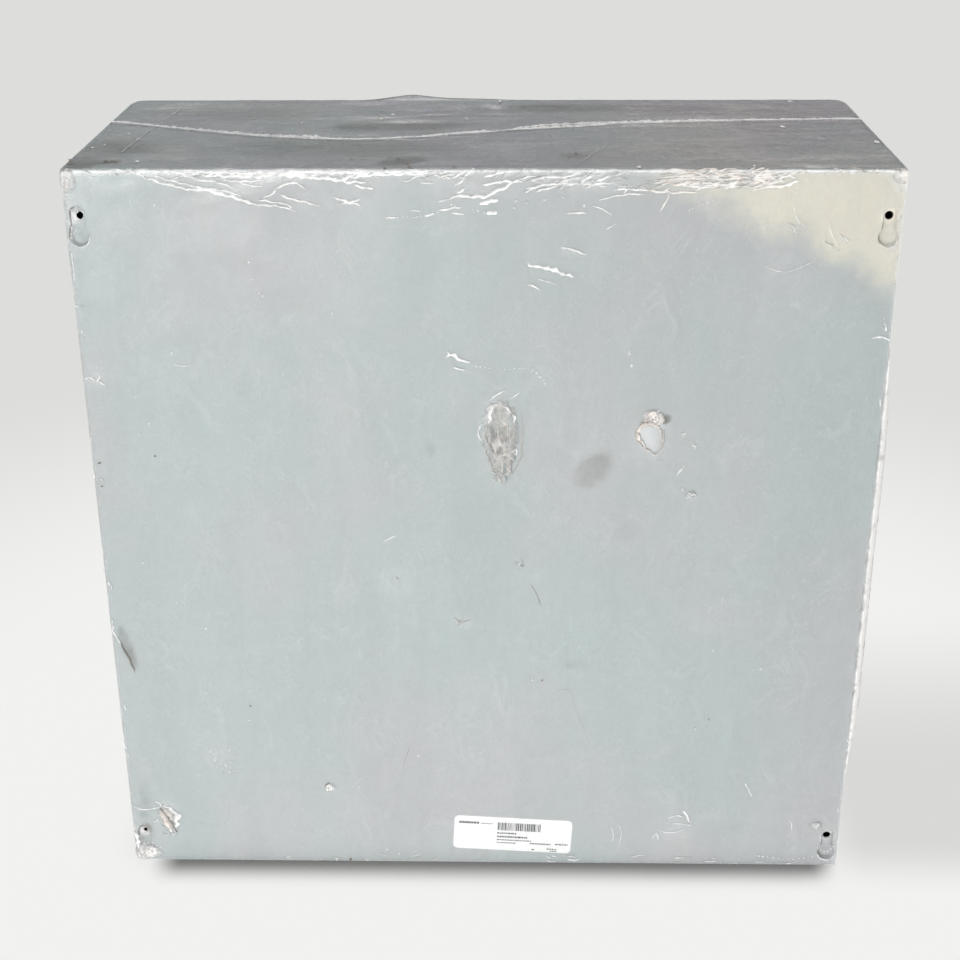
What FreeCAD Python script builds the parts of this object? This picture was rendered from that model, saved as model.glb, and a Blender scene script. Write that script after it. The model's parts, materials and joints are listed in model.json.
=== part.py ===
import FreeCAD, Part
import math
import os
import re
import Sketcher

# A wall-mounted sheet-steel metering cabinet, 24 x 24 x 10 inches, still in its shrink film.
# Millimetres. +Z is up, the hinged cover faces -Y and the wall side faces +Y. The origin is on the
# bottom face, at the middle of the width and of the overall depth.

Vector = FreeCAD.Vector
Rotation = FreeCAD.Rotation

DIMENSIONS = {
    # the sheet-metal body
    "width": 609.6,
    "height": 609.6,
    "depth": 254.0,
    "body_depth": 228.6,
    "gauge": 1.6,
    "bend_outer": 2.2,
    "bend_inner": 0.6,
    "lip": 25.4,
    "weld_flange": 12.7,
    "hood_drop": 9.0,
    "hood_corner": 16.0,
    "weep_hole": 6.4,
    "weep_inset": 60.0,
    # the embossed keyholes in the back, measured from the side edge and down from the top
    "keyhole_inset": 9.6,
    "keyhole_upper": 34.3,
    "keyhole_lower": 580.8,
    "keyhole_hole": 6.35,
    "keyhole_slot": 10.4,
    "keyhole_round": 14.6,
    "keyhole_above": 7.65,
    "keyhole_tall": 30.3,
    "keyhole_deep": 4.0,
    "keyhole_draft": 14.0,
    "keyhole_boss": 0.5,
    # the cover pan
    "cover_gap": 0.8,
    "cover_depth": 16.0,
    "cover_foot": 1.0,
    "cover_head": 2.0,
    "cover_bend": 2.4,
    "stiffener_width": 60.0,
    "stiffener_rise": 11.0,
    "stiffener_foot": 14.0,
    "stiffener_length": 540.0,
    "stiffener_gauge": 1.2,
    # the continuous hinge on the left-hand side
    "hinge_gauge": 1.2,
    "hinge_barrel": 7.2,
    "hinge_pin_size": 3.2,
    "hinge_play": 0.05,
    "hinge_foot": 20.8,
    "hinge_relief": 2.9,
    "knuckle_pitch": 25.4,
    "knuckle_gap": 0.4,
    "knuckle_pairs": 11,
    "fixed_leaf_width": 25.0,
    "moving_leaf_width": 13.5,
    # the two ears that a padlock and a wire seal go through
    "ear_gauge": 2.4,
    "ear_reach": 20.0,
    "ear_tall": 34.0,
    "ear_foot": 12.0,
    "ear_corner": 7.0,
    "ear_level": 304.8,
    "padlock_hole": 9.5,
    "seal_hole": 3.2,
    "seal_rise": 11.0,
    # the captive quarter-inch cover screws, their washers and nuts
    "screw_thread": 6.35,
    "screw_inset": 13.8,
    "screw_upper": 520.0,
    "screw_lower": 90.0,
    "screw_length": 26.0,
    "screw_hex": 11.1,
    "screw_head": 5.0,
    "screw_collar": 14.0,
    "screw_collar_rise": 1.2,
    "screw_slot": 1.6,
    "screw_slot_deep": 2.2,
    "screw_neck": 5.0,
    "screw_neck_length": 2.0,
    "screw_neck_back": 14.0,
    "retainer_size": 12.7,
    "retainer_gauge": 1.2,
    "cover_hole": 7.6,
    "lip_hole": 8.0,
    "nut_hex": 12.7,
    "nut_tall": 6.5,
    "nut_play": 0.4,
    # the instrument rails and what holds them
    "rail_tall": 41.3,
    "rail_deep": 20.6,
    "rail_gauge": 2.6,
    "rail_return": 9.5,
    "rail_length": 520.0,
    "rail_low": 205.0,
    "rail_high": 405.0,
    "slot_wide": 14.3,
    "slot_long": 28.6,
    "slot_pitch": 50.8,
    "slot_count": 9,
    "stud_size": 7.9,
    "stud_length": 19.0,
    "stud_offset": 203.2,
    "stud_play": 0.2,
    "nut_fit": 0.02,
    "washer_size": 22.0,
    "washer_gauge": 1.6,
    "hex_size": 12.7,
    "hex_tall": 6.7,
    # the ground lug
    "ground_side": 215.0,
    "ground_level": 60.0,
    "lug_wide": 17.0,
    "lug_tongue": 26.0,
    "lug_gauge": 3.2,
    "lug_block": 17.0,
    "lug_deep": 20.0,
    "lug_lap": 0.5,
    "wire_bore": 10.0,
    "clamp_screw": 6.35,
    "clamp_length": 11.0,
    # the stock label and the shrink film
    "label_wide": 101.6,
    "label_tall": 34.0,
    "label_thick": 0.12,
    "label_corner": 4.0,
    "label_side": -24.1,
    "label_level": 29.4,
    "label_tilt": -3.1,
    "film_thick": 0.15,
    "film_gap": 0.2,
    "film_side": 195.0,
    "film_window": 12.0,
}

doc = FreeCAD.newDocument("metering_cabinet")
sheet = doc.addObject("Spreadsheet::Sheet", "Dims")
for row, (alias, value) in enumerate(DIMENSIONS.items(), start=1):
    sheet.set(f"A{row}", alias)
    sheet.set(f"B{row}", str(value))
    sheet.setAlias(f"B{row}", alias)
doc.recompute()

# Places used by many pieces, as rules over the sheet.
HALF = "width/2"
BACK = "depth/2"
BACK_IN = "(depth/2 - gauge)"
FRONT = "(depth/2 - body_depth)"
COVER_BACK = "(depth/2 - body_depth - cover_gap)"
COVER_FACE = "(depth/2 - body_depth - cover_gap - cover_depth)"
HINGE_X = "(-width/2 - hinge_barrel/2 - hinge_play*4)"
HINGE_Y = "(depth/2 - body_depth - cover_gap/2)"
SCREW_X = "(width/2 - screw_inset)"
# The caps' side weld flanges run from behind the lip to just short of the keyhole bosses.
FLANGE_START = f"({FRONT} + gauge + bend_inner)"
FLANGE_RUN = "(body_depth - 3*gauge - 2*bend_inner - keyhole_deep)"


def linked(rule):
    """A rule with every alias written the way an expression of the document needs it."""
    def with_sheet(found):
        word = found.group()
        return f"Dims.{word}" if word in DIMENSIONS else word

    return re.sub(r"[a-z_]+", with_sheet, rule)


def size(rule):
    """The value of a rule in millimetres, read from the sheet's cells."""
    value = sheet.evalExpression(linked(rule))
    return float(getattr(value, "Value", value))


def bind(item, **rules):
    """Binds properties of an object to rules over the sheet."""
    for name, rule in rules.items():
        item.setExpression(name, linked(rule))


def place(item, at, turn=None):
    """Puts an object at three rules, turned as given."""
    if turn is not None:
        item.Placement = FreeCAD.Placement(Vector(), turn)
    for axis, rule in zip("xyz", at):
        item.setExpression(f"Placement.Base.{axis}", linked(rule))
    return item


# --- Part primitives and booleans ------------------------------------------------------------------

def box(name, sides, at):
    """A box with its lowest corner at three rules."""
    item = doc.addObject("Part::Box", name)
    bind(item, Length=sides[0], Width=sides[1], Height=sides[2])
    return place(item, at)


TOWARDS = {
    "+Z": Rotation(),
    "+Y": Rotation(Vector(1, 0, 0), -90),
    "-Y": Rotation(Vector(1, 0, 0), 90),
    "+X": Rotation(Vector(0, 1, 0), 90),
}


def cylinder(name, radius, length, at, towards="+Z"):
    """A cylinder that starts at three rules and runs along a row axis."""
    item = doc.addObject("Part::Cylinder", name)
    bind(item, Radius=radius, Height=length)
    return place(item, at, TOWARDS[towards])


def hexagon(name, across_flats, length, at, towards="+Z"):
    """A hexagonal prism that starts at three rules and runs along a row axis."""
    item = doc.addObject("Part::Prism", name)
    item.Polygon = 6
    bind(item, Circumradius=f"({across_flats}) / 2 / cos(30)", Height=length)
    return place(item, at, TOWARDS[towards])


def cut(name, base, tool):
    item = doc.addObject("Part::Cut", name)
    item.Base = base
    item.Tool = tool
    return item


def fuse(name, items):
    item = doc.addObject("Part::MultiFuse", name)
    item.Shapes = items
    item.Refine = True
    return item


def group(name, items):
    """Identical loose pieces that share one node, each a solid of its own."""
    item = doc.addObject("Part::Compound", name)
    item.Links = items
    return item


def rounded(name, base, radius, chosen):
    """A Part::Fillet of one radius on the edges of base that the test picks."""
    doc.recompute()
    item = doc.addObject("Part::Fillet", name)
    item.Base = base
    numbers = [index for index, edge in enumerate(base.Shape.Edges, start=1) if chosen(edge)]
    item.Edges = [(number, size(radius), size(radius)) for number in numbers]
    return item


def upright(edge):
    """True for a straight edge along Z."""
    box_of = edge.BoundBox
    return box_of.ZLength > 0.5 and box_of.XLength < 1e-6 and box_of.YLength < 1e-6


def upright_at(places):
    """A test for upright edges that stand at one of the (x, y) rules."""
    spots = [(size(x), size(y)) for x, y in places]

    def chosen(edge):
        middle = edge.BoundBox.Center
        near = (math.hypot(middle.x - x, middle.y - y) < 0.05 for x, y in spots)
        return upright(edge) and any(near)
    return chosen


# --- PartDesign bodies -----------------------------------------------------------------------------

def sketch_on(body, name, role, level="0"):
    """A sketch on one of the body's own origin planes, moved along the plane's normal by a rule."""
    sketch = body.newObject("Sketcher::SketchObject", name)
    plane = next(feature for feature in body.Origin.OriginFeatures if feature.Role == role)
    sketch.AttachmentSupport = [(plane, "")]
    sketch.MapMode = "FlatFace"
    sketch.setExpression("AttachmentOffset.Base.z", linked(level))
    return sketch


def pin_point(sketch, geometry, end, at):
    """Constrains a point of a sketch to two rules."""
    for kind, rule in zip(("DistanceX", "DistanceY"), at):
        index = sketch.addConstraint(Sketcher.Constraint(kind, geometry, end, size(rule)))
        sketch.setExpression(f"Constraints[{index}]", linked(rule))


def polygon(sketch, corners):
    """A closed outline of straight lines through corners given as pairs of rules."""
    spots = [Vector(size(x), size(y), 0) for x, y in corners]
    first = sketch.GeometryCount
    count = len(spots)
    for index in range(count):
        sketch.addGeometry(Part.LineSegment(spots[index], spots[(index + 1) % count]), False)
    for index in range(count):
        here, following = first + index, first + (index + 1) % count
        sketch.addConstraint(Sketcher.Constraint("Coincident", here, 2, following, 1))
    for index, corner in enumerate(corners):
        pin_point(sketch, first + index, 1, corner)


def circle(sketch, centre, radius):
    x, y = centre
    ring = Part.Circle(Vector(size(x), size(y), 0), Vector(0, 0, 1), size(radius))
    number = sketch.addGeometry(ring, False)
    pin_point(sketch, number, 3, centre)
    index = sketch.addConstraint(Sketcher.Constraint("Radius", number, size(radius)))
    sketch.setExpression(f"Constraints[{index}]", linked(radius))


def arc(sketch, centre, radius, start, end):
    """An arc about a centre given by rules, from start to end in degrees."""
    x, y = centre
    ring = Part.Circle(Vector(size(x), size(y), 0), Vector(0, 0, 1), size(radius))
    number = sketch.addGeometry(Part.ArcOfCircle(ring, math.radians(start), math.radians(end)), False)
    pin_point(sketch, number, 3, centre)
    index = sketch.addConstraint(Sketcher.Constraint("Radius", number, size(radius)))
    sketch.setExpression(f"Constraints[{index}]", linked(radius))
    return number


def pad(body, name, sketch, length, backwards=False, draft=None):
    feature = body.newObject("PartDesign::Pad", name)
    feature.Profile = sketch
    feature.Reversed = backwards
    bind(feature, Length=length)
    if draft is not None:
        bind(feature, TaperAngle=draft)
    return feature


def pocket(body, name, sketch, length, backwards=False, draft=None):
    """A pocket that must take material away, which its volume shows."""
    doc.recompute()
    before = body.Shape.Volume
    feature = body.newObject("PartDesign::Pocket", name)
    feature.Profile = sketch
    feature.Reversed = backwards
    bind(feature, Length=length)
    if draft is not None:
        bind(feature, TaperAngle=draft)
    doc.recompute()
    if not body.Shape.Volume < before - 0.01:
        raise RuntimeError(f"{name} cut nothing")
    return feature


def fillet(body, name, radius, chosen):
    doc.recompute()
    tip = body.Tip
    feature = body.newObject("PartDesign::Fillet", name)
    names = [f"Edge{index}" for index, edge in enumerate(tip.Shape.Edges, start=1) if chosen(edge)]
    feature.Base = (tip, names)
    bind(feature, Radius=radius)
    return feature


def pattern(body, name, feature, sketch, axis, spacing, count):
    """Repeats a feature along a sketch's axis, N_Axis being its normal."""
    doc.recompute()
    row_of = body.newObject("PartDesign::LinearPattern", name)
    row_of.Originals = [feature]
    row_of.Direction = (sketch, [axis])
    row_of.Mode = "Spacing"
    bind(row_of, Offset=spacing, Occurrences=count)
    body.Tip = row_of
    return row_of


# --- The cabinet body ------------------------------------------------------------------------------

def keyhole_outline(sketch, centre_x, hole_z, grow):
    """A keyhole, narrow end up: a slot that runs down into a round, grown outwards by a rule."""
    slot = f"(keyhole_slot/2 + {grow})"
    round_ = f"(keyhole_round/2 + {grow})"
    top_z = f"({hole_z} + keyhole_above - keyhole_slot/2)"
    low_z = f"({hole_z} + keyhole_above - keyhole_tall + keyhole_round/2)"
    spread = math.degrees(math.acos(size(slot) / size(round_)))
    head = arc(sketch, (centre_x, top_z), slot, 0, 180)
    foot = arc(sketch, (centre_x, low_z), round_, 180 - spread, 360 + spread)
    x, half = size(centre_x), size(slot)
    join = size(low_z) + size(round_) * math.sin(math.radians(spread))
    top = size(top_z)
    left_line = Part.LineSegment(Vector(x - half, top, 0), Vector(x - half, join, 0))
    right_line = Part.LineSegment(Vector(x + half, join, 0), Vector(x + half, top, 0))
    left = sketch.addGeometry(left_line, False)
    right = sketch.addGeometry(right_line, False)
    sketch.addConstraint(Sketcher.Constraint("Tangent", head, 2, left, 1))
    sketch.addConstraint(Sketcher.Constraint("Tangent", right, 2, head, 1))
    sketch.addConstraint(Sketcher.Constraint("Coincident", left, 2, foot, 1))
    sketch.addConstraint(Sketcher.Constraint("Coincident", foot, 2, right, 1))
    sketch.addConstraint(Sketcher.Constraint("Vertical", left))
    sketch.addConstraint(Sketcher.Constraint("Vertical", right))


KEYHOLES = [
    (side, level)
    for side in ("(keyhole_inset - width/2)", "(width/2 - keyhole_inset)")
    for level in ("(height - keyhole_upper)", "(height - keyhole_lower)")
]


def make_wrapper():
    """The back and both sides, one sheet, with a lip turned in down each side of the opening."""
    body = doc.addObject("PartDesign::Body", "wrapper")
    plan = sketch_on(body, "wrapper_plan", "XY_Plane", "gauge")
    inner_front = f"({FRONT} + gauge)"
    inner_side = "(width/2 - gauge)"
    lip_edge = "(width/2 - lip)"
    right_half = [
        (HALF, BACK), (HALF, FRONT), (lip_edge, FRONT),
        (lip_edge, inner_front), (inner_side, inner_front), (inner_side, BACK_IN),
    ]
    left_half = [(f"-{x}", y) for x, y in reversed(right_half)]
    polygon(plan, right_half + left_half)
    pad(body, "wrapper_sheet", plan, "height - 2*gauge")
    outside = [(f"{sign}{HALF}", y) for sign in ("-", "") for y in (FRONT, BACK)]
    inside = [(f"{sign}{inner_side}", y) for sign in ("-", "") for y in (inner_front, BACK_IN)]
    fillet(body, "wrapper_outer_bends", "bend_outer", upright_at(outside))
    fillet(body, "wrapper_inner_bends", "bend_inner", upright_at(inside))

    # Each keyhole is pressed inwards: a boss inside, a hollow of the same shape outside, one screw hole.
    boss = sketch_on(body, "keyhole_boss_outline", "XZ_Plane", f"-{BACK_IN}")
    hollow = sketch_on(body, "keyhole_hollow_outline", "XZ_Plane", f"-{BACK}")
    holes = sketch_on(body, "keyhole_hole_outline", "XZ_Plane", f"-{BACK}")
    for side, level in KEYHOLES:
        keyhole_outline(boss, side, level, "keyhole_boss")
        keyhole_outline(hollow, side, level, "0")
        circle(holes, (side, level), "keyhole_hole/2")
    pad(body, "keyhole_boss", boss, "keyhole_deep", draft="-keyhole_draft")
    pocket(body, "keyhole_hollow", hollow, "keyhole_deep", backwards=True, draft="-keyhole_draft")
    pocket(body, "keyhole_hole", holes, "keyhole_deep + 2*gauge", backwards=True)

    # One hole in the right-hand lip behind each cover screw.
    screws = sketch_on(body, "lip_hole_outline", "XZ_Plane", f"-({FRONT} + 2*gauge)")
    for level in ("screw_upper", "screw_lower"):
        circle(screws, (SCREW_X, level), "lip_hole/2")
    pocket(body, "lip_holes", screws, "4*gauge", backwards=True)
    return body


def make_top_cap():
    """The top: a plate with a weld flange inside the wrapper and a drip hood over the cover."""
    hood_level = "height - hood_drop"
    blank = box("hood_blank", ("width", "depth", "hood_drop"), ("-width/2", "-depth/2", hood_level))
    corners = [(f"{sign}{HALF}", "-depth/2") for sign in ("-", "")]
    back_corners = [(f"{sign}{HALF}", BACK) for sign in ("-", "")]
    front_round = rounded("hood_front_round", blank, "hood_corner", upright_at(corners))
    outer = rounded("hood_outer", front_round, "bend_outer", upright_at(back_corners))
    inner_blank = box(
        "hood_inside_blank",
        ("width - 2*gauge", "depth", "hood_drop - gauge"),
        ("gauge - width/2", "gauge - depth/2", hood_level),
    )
    inner_corners = [(f"{sign}(width/2 - gauge)", "gauge - depth/2") for sign in ("-", "")]
    inner = rounded("hood_inside", inner_blank, "hood_corner - gauge", upright_at(inner_corners))
    behind = box(
        "hood_behind",
        ("width + 2*lip", "body_depth + lip", "hood_drop - gauge"),
        ("-width/2 - lip", FRONT, hood_level),
    )
    shell = cut("hood_shell", cut("hood_pan", outer, inner), behind)
    flange_level = "height - gauge - weld_flange"
    sides = [
        box(
            f"top_flange_{name}",
            ("gauge", FLANGE_RUN, "weld_flange + gauge/2"),
            (x, FLANGE_START, flange_level),
        )
        for name, x in (("left", "gauge - width/2"), ("right", "width/2 - 2*gauge"))
    ]
    rear = box(
        "top_flange_rear",
        ("width - 2*lip", "gauge", "weld_flange + gauge/2"),
        ("lip - width/2", "depth/2 - 2*gauge", flange_level),
    )
    return fuse("top_cap", [shell, rear] + sides)


def make_bottom_cap():
    """The bottom: a plate with a weld flange inside the wrapper, a sill at the front and two weep holes."""
    blank = box("floor_blank", ("width", "body_depth", "gauge"), ("-width/2", FRONT, "0"))
    corners = [(f"{sign}{HALF}", y) for sign in ("-", "") for y in (FRONT, BACK)]
    plate = rounded("floor_plate", blank, "bend_outer", upright_at(corners))
    sides = [
        box(
            f"floor_flange_{name}",
            ("gauge", FLANGE_RUN, "weld_flange + gauge/2"),
            (x, FLANGE_START, "gauge/2"),
        )
        for name, x in (("left", "gauge - width/2"), ("right", "width/2 - 2*gauge"))
    ]
    rear = box(
        "floor_flange_rear",
        ("width - 2*lip", "gauge", "weld_flange + gauge/2"),
        ("lip - width/2", "depth/2 - 2*gauge", "gauge/2"),
    )
    sill = box(
        "floor_sill", ("width - 2*lip", "gauge", "lip - gauge/2"), ("lip - width/2", FRONT, "gauge/2")
    )
    joined = fuse("floor_joined", [plate, rear, sill] + sides)
    weeps = [
        cylinder(f"weep_{name}", "weep_hole/2", "3*gauge", (x, f"{FRONT} + weep_inset", "-gauge"))
        for name, x in (("left", "weep_inset - width/2"), ("right", "width/2 - weep_inset"))
    ]
    return cut("bottom_cap", joined, group("weeps", weeps))


def make_front_header():
    """The angle across the top of the opening, welded up under the top plate."""
    face = box(
        "header_face",
        ("width - 2*lip", "gauge", "lip - gauge"),
        ("lip - width/2", FRONT, "height - lip"),
    )
    shelf = box(
        "header_shelf",
        ("width - 2*lip", "weld_flange", "gauge"),
        ("lip - width/2", FRONT, "height - 2*gauge"),
    )
    return fuse("front_header", [face, shelf])


# --- The cover -------------------------------------------------------------------------------------

def near_face(edge):
    """True for the edges of the pan's blank that bound its front face, and its four corners."""
    box_of = edge.BoundBox
    on_face = abs(box_of.YMin - size(COVER_FACE)) < 1e-6
    return on_face and (box_of.YLength < 1e-6 or box_of.YLength > 5)


def make_cover_pan():
    """The cover: a pan whose edges turn back towards the body, with a hole for each captive screw."""
    tall = "height - hood_drop - cover_head - cover_foot"
    blank = box(
        "pan_blank", ("width", "cover_depth", tall), ("-width/2", COVER_FACE, "cover_foot")
    )
    outer = rounded("pan_outer", blank, "cover_bend", near_face)
    inner = box(
        "pan_inside",
        ("width - 2*gauge", "cover_depth", f"{tall} - 2*gauge"),
        ("gauge - width/2", f"{COVER_FACE} + gauge", "cover_foot + gauge"),
    )
    holes = [
        cylinder(
            f"pan_hole_{level}", "cover_hole/2", "4*gauge",
            (SCREW_X, f"{COVER_FACE} - gauge", level), "+Y",
        )
        for level in ("screw_upper", "screw_lower")
    ]
    return cut("cover_pan", cut("pan_shell", outer, inner), group("pan_holes", holes))


def make_cover_stiffener():
    """A hat-section stiffener down the middle of the cover's inside face."""
    body = doc.addObject("PartDesign::Body", "cover_stiffener")
    plan = sketch_on(body, "stiffener_plan", "XY_Plane", "(height - stiffener_length)/2 - hood_drop/2")
    skin = f"({COVER_FACE} + gauge)"
    top = f"({skin} + stiffener_rise)"
    crown = "(stiffener_width/2 - stiffener_foot)"
    wall = "stiffener_gauge"
    right_half = [
        ("stiffener_width/2", skin), ("stiffener_width/2", f"({skin} + {wall})"),
        (f"({crown})", f"({skin} + {wall})"), (f"({crown})", top),
    ]
    inner_half = [(f"({crown} - {wall})", f"({top} - {wall})"), (f"({crown} - {wall})", skin)]
    left_outer = [(f"-{x}", y) for x, y in reversed(right_half)]
    left_inner = [(f"-{x}", y) for x, y in reversed(inner_half)]
    polygon(plan, right_half + left_outer + left_inner + inner_half)
    pad(body, "stiffener_hat", plan, "stiffener_length")
    return body


# --- The hinge -------------------------------------------------------------------------------------

def make_hinge_leaf(name, first, direction, leaf_width):
    """One leaf of the continuous hinge: a strip on the side face, and every second knuckle of the barrel."""
    body = doc.addObject("PartDesign::Body", name)
    strip_in = "(-width/2)"
    strip_out = "(-width/2 - hinge_gauge)"
    strip = sketch_on(body, f"{name}_strip_plan", "XY_Plane", "hinge_foot")
    near = f"({HINGE_Y} {direction} hinge_relief)"
    far = f"({HINGE_Y} {direction} {leaf_width})"
    polygon(strip, [(strip_out, near), (strip_in, near), (strip_in, far), (strip_out, far)])
    pad(body, f"{name}_strip", strip, "2*knuckle_pairs*knuckle_pitch")
    foot = f"(hinge_foot + knuckle_gap/2 + {first}*knuckle_pitch)"
    root = sketch_on(body, f"{name}_root_plan", "XY_Plane", foot)
    polygon(root, [(strip_out, HINGE_Y), (strip_in, HINGE_Y), (strip_in, near), (strip_out, near)])
    root_pad = pad(body, f"{name}_root", root, "knuckle_pitch - knuckle_gap")
    pattern(body, f"{name}_roots", root_pad, root, "N_Axis", "2*knuckle_pitch", "knuckle_pairs")
    ring = sketch_on(body, f"{name}_ring_plan", "XY_Plane", foot)
    circle(ring, (HINGE_X, HINGE_Y), "hinge_barrel/2")
    ring_pad = pad(body, f"{name}_ring", ring, "knuckle_pitch - knuckle_gap")
    pattern(body, f"{name}_rings", ring_pad, ring, "N_Axis", "2*knuckle_pitch", "knuckle_pairs")
    bore = sketch_on(body, f"{name}_bore_plan", "XY_Plane", "hinge_foot - knuckle_gap")
    circle(bore, (HINGE_X, HINGE_Y), "hinge_pin_size/2 + hinge_play")
    pocket(body, f"{name}_bore", bore, "2*knuckle_pairs*knuckle_pitch + 2*knuckle_gap", backwards=True)
    return body


def make_hinge_pin():
    """The hinge's one long pin, with a flat head above the top knuckle."""
    shaft = cylinder(
        "hinge_pin_shaft", "hinge_pin_size/2", "2*knuckle_pairs*knuckle_pitch + 2*knuckle_gap",
        (HINGE_X, HINGE_Y, "hinge_foot - knuckle_gap"),
    )
    head = cylinder(
        "hinge_pin_head", "hinge_barrel/2 - 4*hinge_play", "hinge_pin_size/2",
        (HINGE_X, HINGE_Y, "hinge_foot + 2*knuckle_pairs*knuckle_pitch + knuckle_gap"),
    )
    return fuse("hinge_pin", [shaft, head])


# --- The padlock ears ------------------------------------------------------------------------------

def make_ear(name, ear_y, foot_y):
    """An angle on the right-hand side face whose ear takes a padlock and a wire seal."""
    low = "ear_level - ear_tall/2"
    blank = box(
        f"{name}_blank", ("ear_reach", "ear_gauge", "ear_tall"), (HALF, ear_y, low)
    )

    def outer_corner(edge):
        box_of = edge.BoundBox
        at_tip = abs(box_of.XMin - size("width/2 + ear_reach")) < 1e-6
        return at_tip and box_of.YLength > 1 and box_of.XLength < 1e-6 and box_of.ZLength < 1e-6

    plate = rounded(f"{name}_plate", blank, "ear_corner", outer_corner)
    foot = box(f"{name}_foot", ("ear_gauge", "ear_foot", "ear_tall"), (HALF, foot_y, low))
    start = f"{ear_y} - ear_gauge"
    middle = "width/2 + ear_reach/2"
    padlock = cylinder(
        f"{name}_padlock_hole", "padlock_hole/2", "3*ear_gauge", (middle, start, "ear_level"), "+Y"
    )
    seal = cylinder(
        f"{name}_seal_hole", "seal_hole/2", "3*ear_gauge", (middle, start, "ear_level + seal_rise"), "+Y"
    )
    return cut(name, fuse(f"{name}_angle", [plate, foot]), group(f"{name}_holes", [padlock, seal]))


# --- The cover screws ------------------------------------------------------------------------------

def make_captive_screw(name, level):
    """A quarter-inch screw: hex head with a collar and a slot, threaded shank, and a neck for its washer."""
    under = COVER_FACE
    seat = (SCREW_X, f"{under} - cover_gap/2", level)
    shank = cylinder(f"{name}_shank", "screw_thread/2", "screw_length", (SCREW_X, under, level), "+Y")
    tip = doc.addObject("Part::Cone", f"{name}_tip")
    bind(tip, Radius1="screw_thread/2", Radius2="screw_thread/2 - 1", Height="1")
    place(tip, (SCREW_X, f"{under} + screw_length", level), TOWARDS["+Y"])
    collar = cylinder(f"{name}_collar", "screw_collar/2", "screw_collar_rise", seat, "-Y")
    boss = cylinder(f"{name}_boss", "screw_thread/2", "cover_gap", seat, "+Y")
    head = hexagon(f"{name}_hex", "screw_hex", "screw_head", seat, "-Y")
    joined = fuse(f"{name}_joined", [shank, tip, collar, boss, head])
    neck_at = (SCREW_X, f"{under} + screw_neck_back", level)
    sleeve = cylinder(f"{name}_sleeve", "screw_thread", "screw_neck_length", neck_at, "+Y")
    core = cylinder(f"{name}_core", "screw_neck/2", "screw_neck_length", neck_at, "+Y")
    slot = box(
        f"{name}_slot", ("2*screw_hex", "screw_slot_deep + 1", "screw_slot"),
        (f"{SCREW_X} - screw_hex", f"{under} - cover_gap/2 - screw_head - 1", f"{level} - screw_slot/2"),
    )
    tools = group(f"{name}_tools", [cut(f"{name}_neck", sleeve, core), slot])
    return cut(name, joined, tools)


def make_retaining_washer(name, level):
    """The washer that rides in the screw's neck and keeps it in the cover."""
    at_y = f"{COVER_FACE} + screw_neck_back + (screw_neck_length - retainer_gauge)/2"
    disc = cylinder(f"{name}_disc", "retainer_size/2", "retainer_gauge", (SCREW_X, at_y, level), "+Y")
    hole = cylinder(
        f"{name}_hole", "screw_neck/2 + hinge_play", "3*retainer_gauge",
        (SCREW_X, f"{at_y} - retainer_gauge", level), "+Y",
    )
    return cut(name, disc, hole)


def make_nut(name, at, flats, tall, bore):
    """A hexagon nut whose first face is at three rules, running towards -Y."""
    body = hexagon(f"{name}_hex", flats, tall, at, "-Y")
    x, y, z = at
    hole = cylinder(f"{name}_hole", bore, f"3*{tall}", (x, f"({y}) + {tall}", z), "-Y")
    return cut(name, body, hole)


def make_clinch_nuts():
    """The two nuts pressed into the back of the lip for the cover screws."""
    nuts = [
        make_nut(
            f"clinch_nut_{level}", (SCREW_X, f"{FRONT} + gauge + nut_tall", level),
            "nut_hex", "nut_tall", "screw_thread/2 + nut_play",
        )
        for level in ("screw_upper", "screw_lower")
    ]
    return group("clinch_nuts", nuts)


# --- The instrument rails --------------------------------------------------------------------------

def make_rail(name, level):
    """A slotted channel across the back, open to the front, with turned-in lips."""
    body = doc.addObject("PartDesign::Body", name)
    section = sketch_on(body, f"{name}_section", "YZ_Plane", "-rail_length/2")
    front = f"({BACK_IN} - rail_deep)"
    web = f"({BACK_IN} - rail_gauge)"
    half_outline = [
        (BACK_IN, "rail_tall/2"), (front, "rail_tall/2"), (front, "(rail_tall/2 - rail_return)"),
        (f"({front} + rail_gauge)", "(rail_tall/2 - rail_return)"),
        (f"({front} + rail_gauge)", "(rail_tall/2 - rail_gauge)"), (web, "(rail_tall/2 - rail_gauge)"),
    ]
    upper_half = [(y, f"({level} + {rise})") for y, rise in half_outline]
    lower_half = [(y, f"({level} - {rise})") for y, rise in reversed(half_outline)]
    polygon(section, upper_half + lower_half)
    pad(body, f"{name}_channel", section, "rail_length")
    holes = sketch_on(body, f"{name}_slot_outline", "XZ_Plane", f"-({BACK_IN} + gauge)")
    reach = "(slot_long/2 - slot_wide/2)"
    start = "(-slot_pitch*(slot_count - 1)/2)"
    right = arc(holes, (f"{start} + {reach}", level), "slot_wide/2", -90, 90)
    left = arc(holes, (f"{start} - {reach}", level), "slot_wide/2", 90, 270)
    x, z, run, half_slot = size(start), size(level), size(reach), size("slot_wide/2")
    lower = Part.LineSegment(Vector(x - run, z - half_slot, 0), Vector(x + run, z - half_slot, 0))
    upper = Part.LineSegment(Vector(x + run, z + half_slot, 0), Vector(x - run, z + half_slot, 0))
    low = holes.addGeometry(lower, False)
    high = holes.addGeometry(upper, False)
    holes.addConstraint(Sketcher.Constraint("Tangent", low, 2, right, 1))
    holes.addConstraint(Sketcher.Constraint("Tangent", right, 2, high, 1))
    holes.addConstraint(Sketcher.Constraint("Tangent", high, 2, left, 1))
    holes.addConstraint(Sketcher.Constraint("Tangent", left, 2, low, 1))
    slot = pocket(body, f"{name}_slot", holes, "rail_gauge + 2*gauge", backwards=True)
    pattern(body, f"{name}_slots", slot, holes, "H_Axis", "slot_pitch", "slot_count")
    return body


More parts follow.
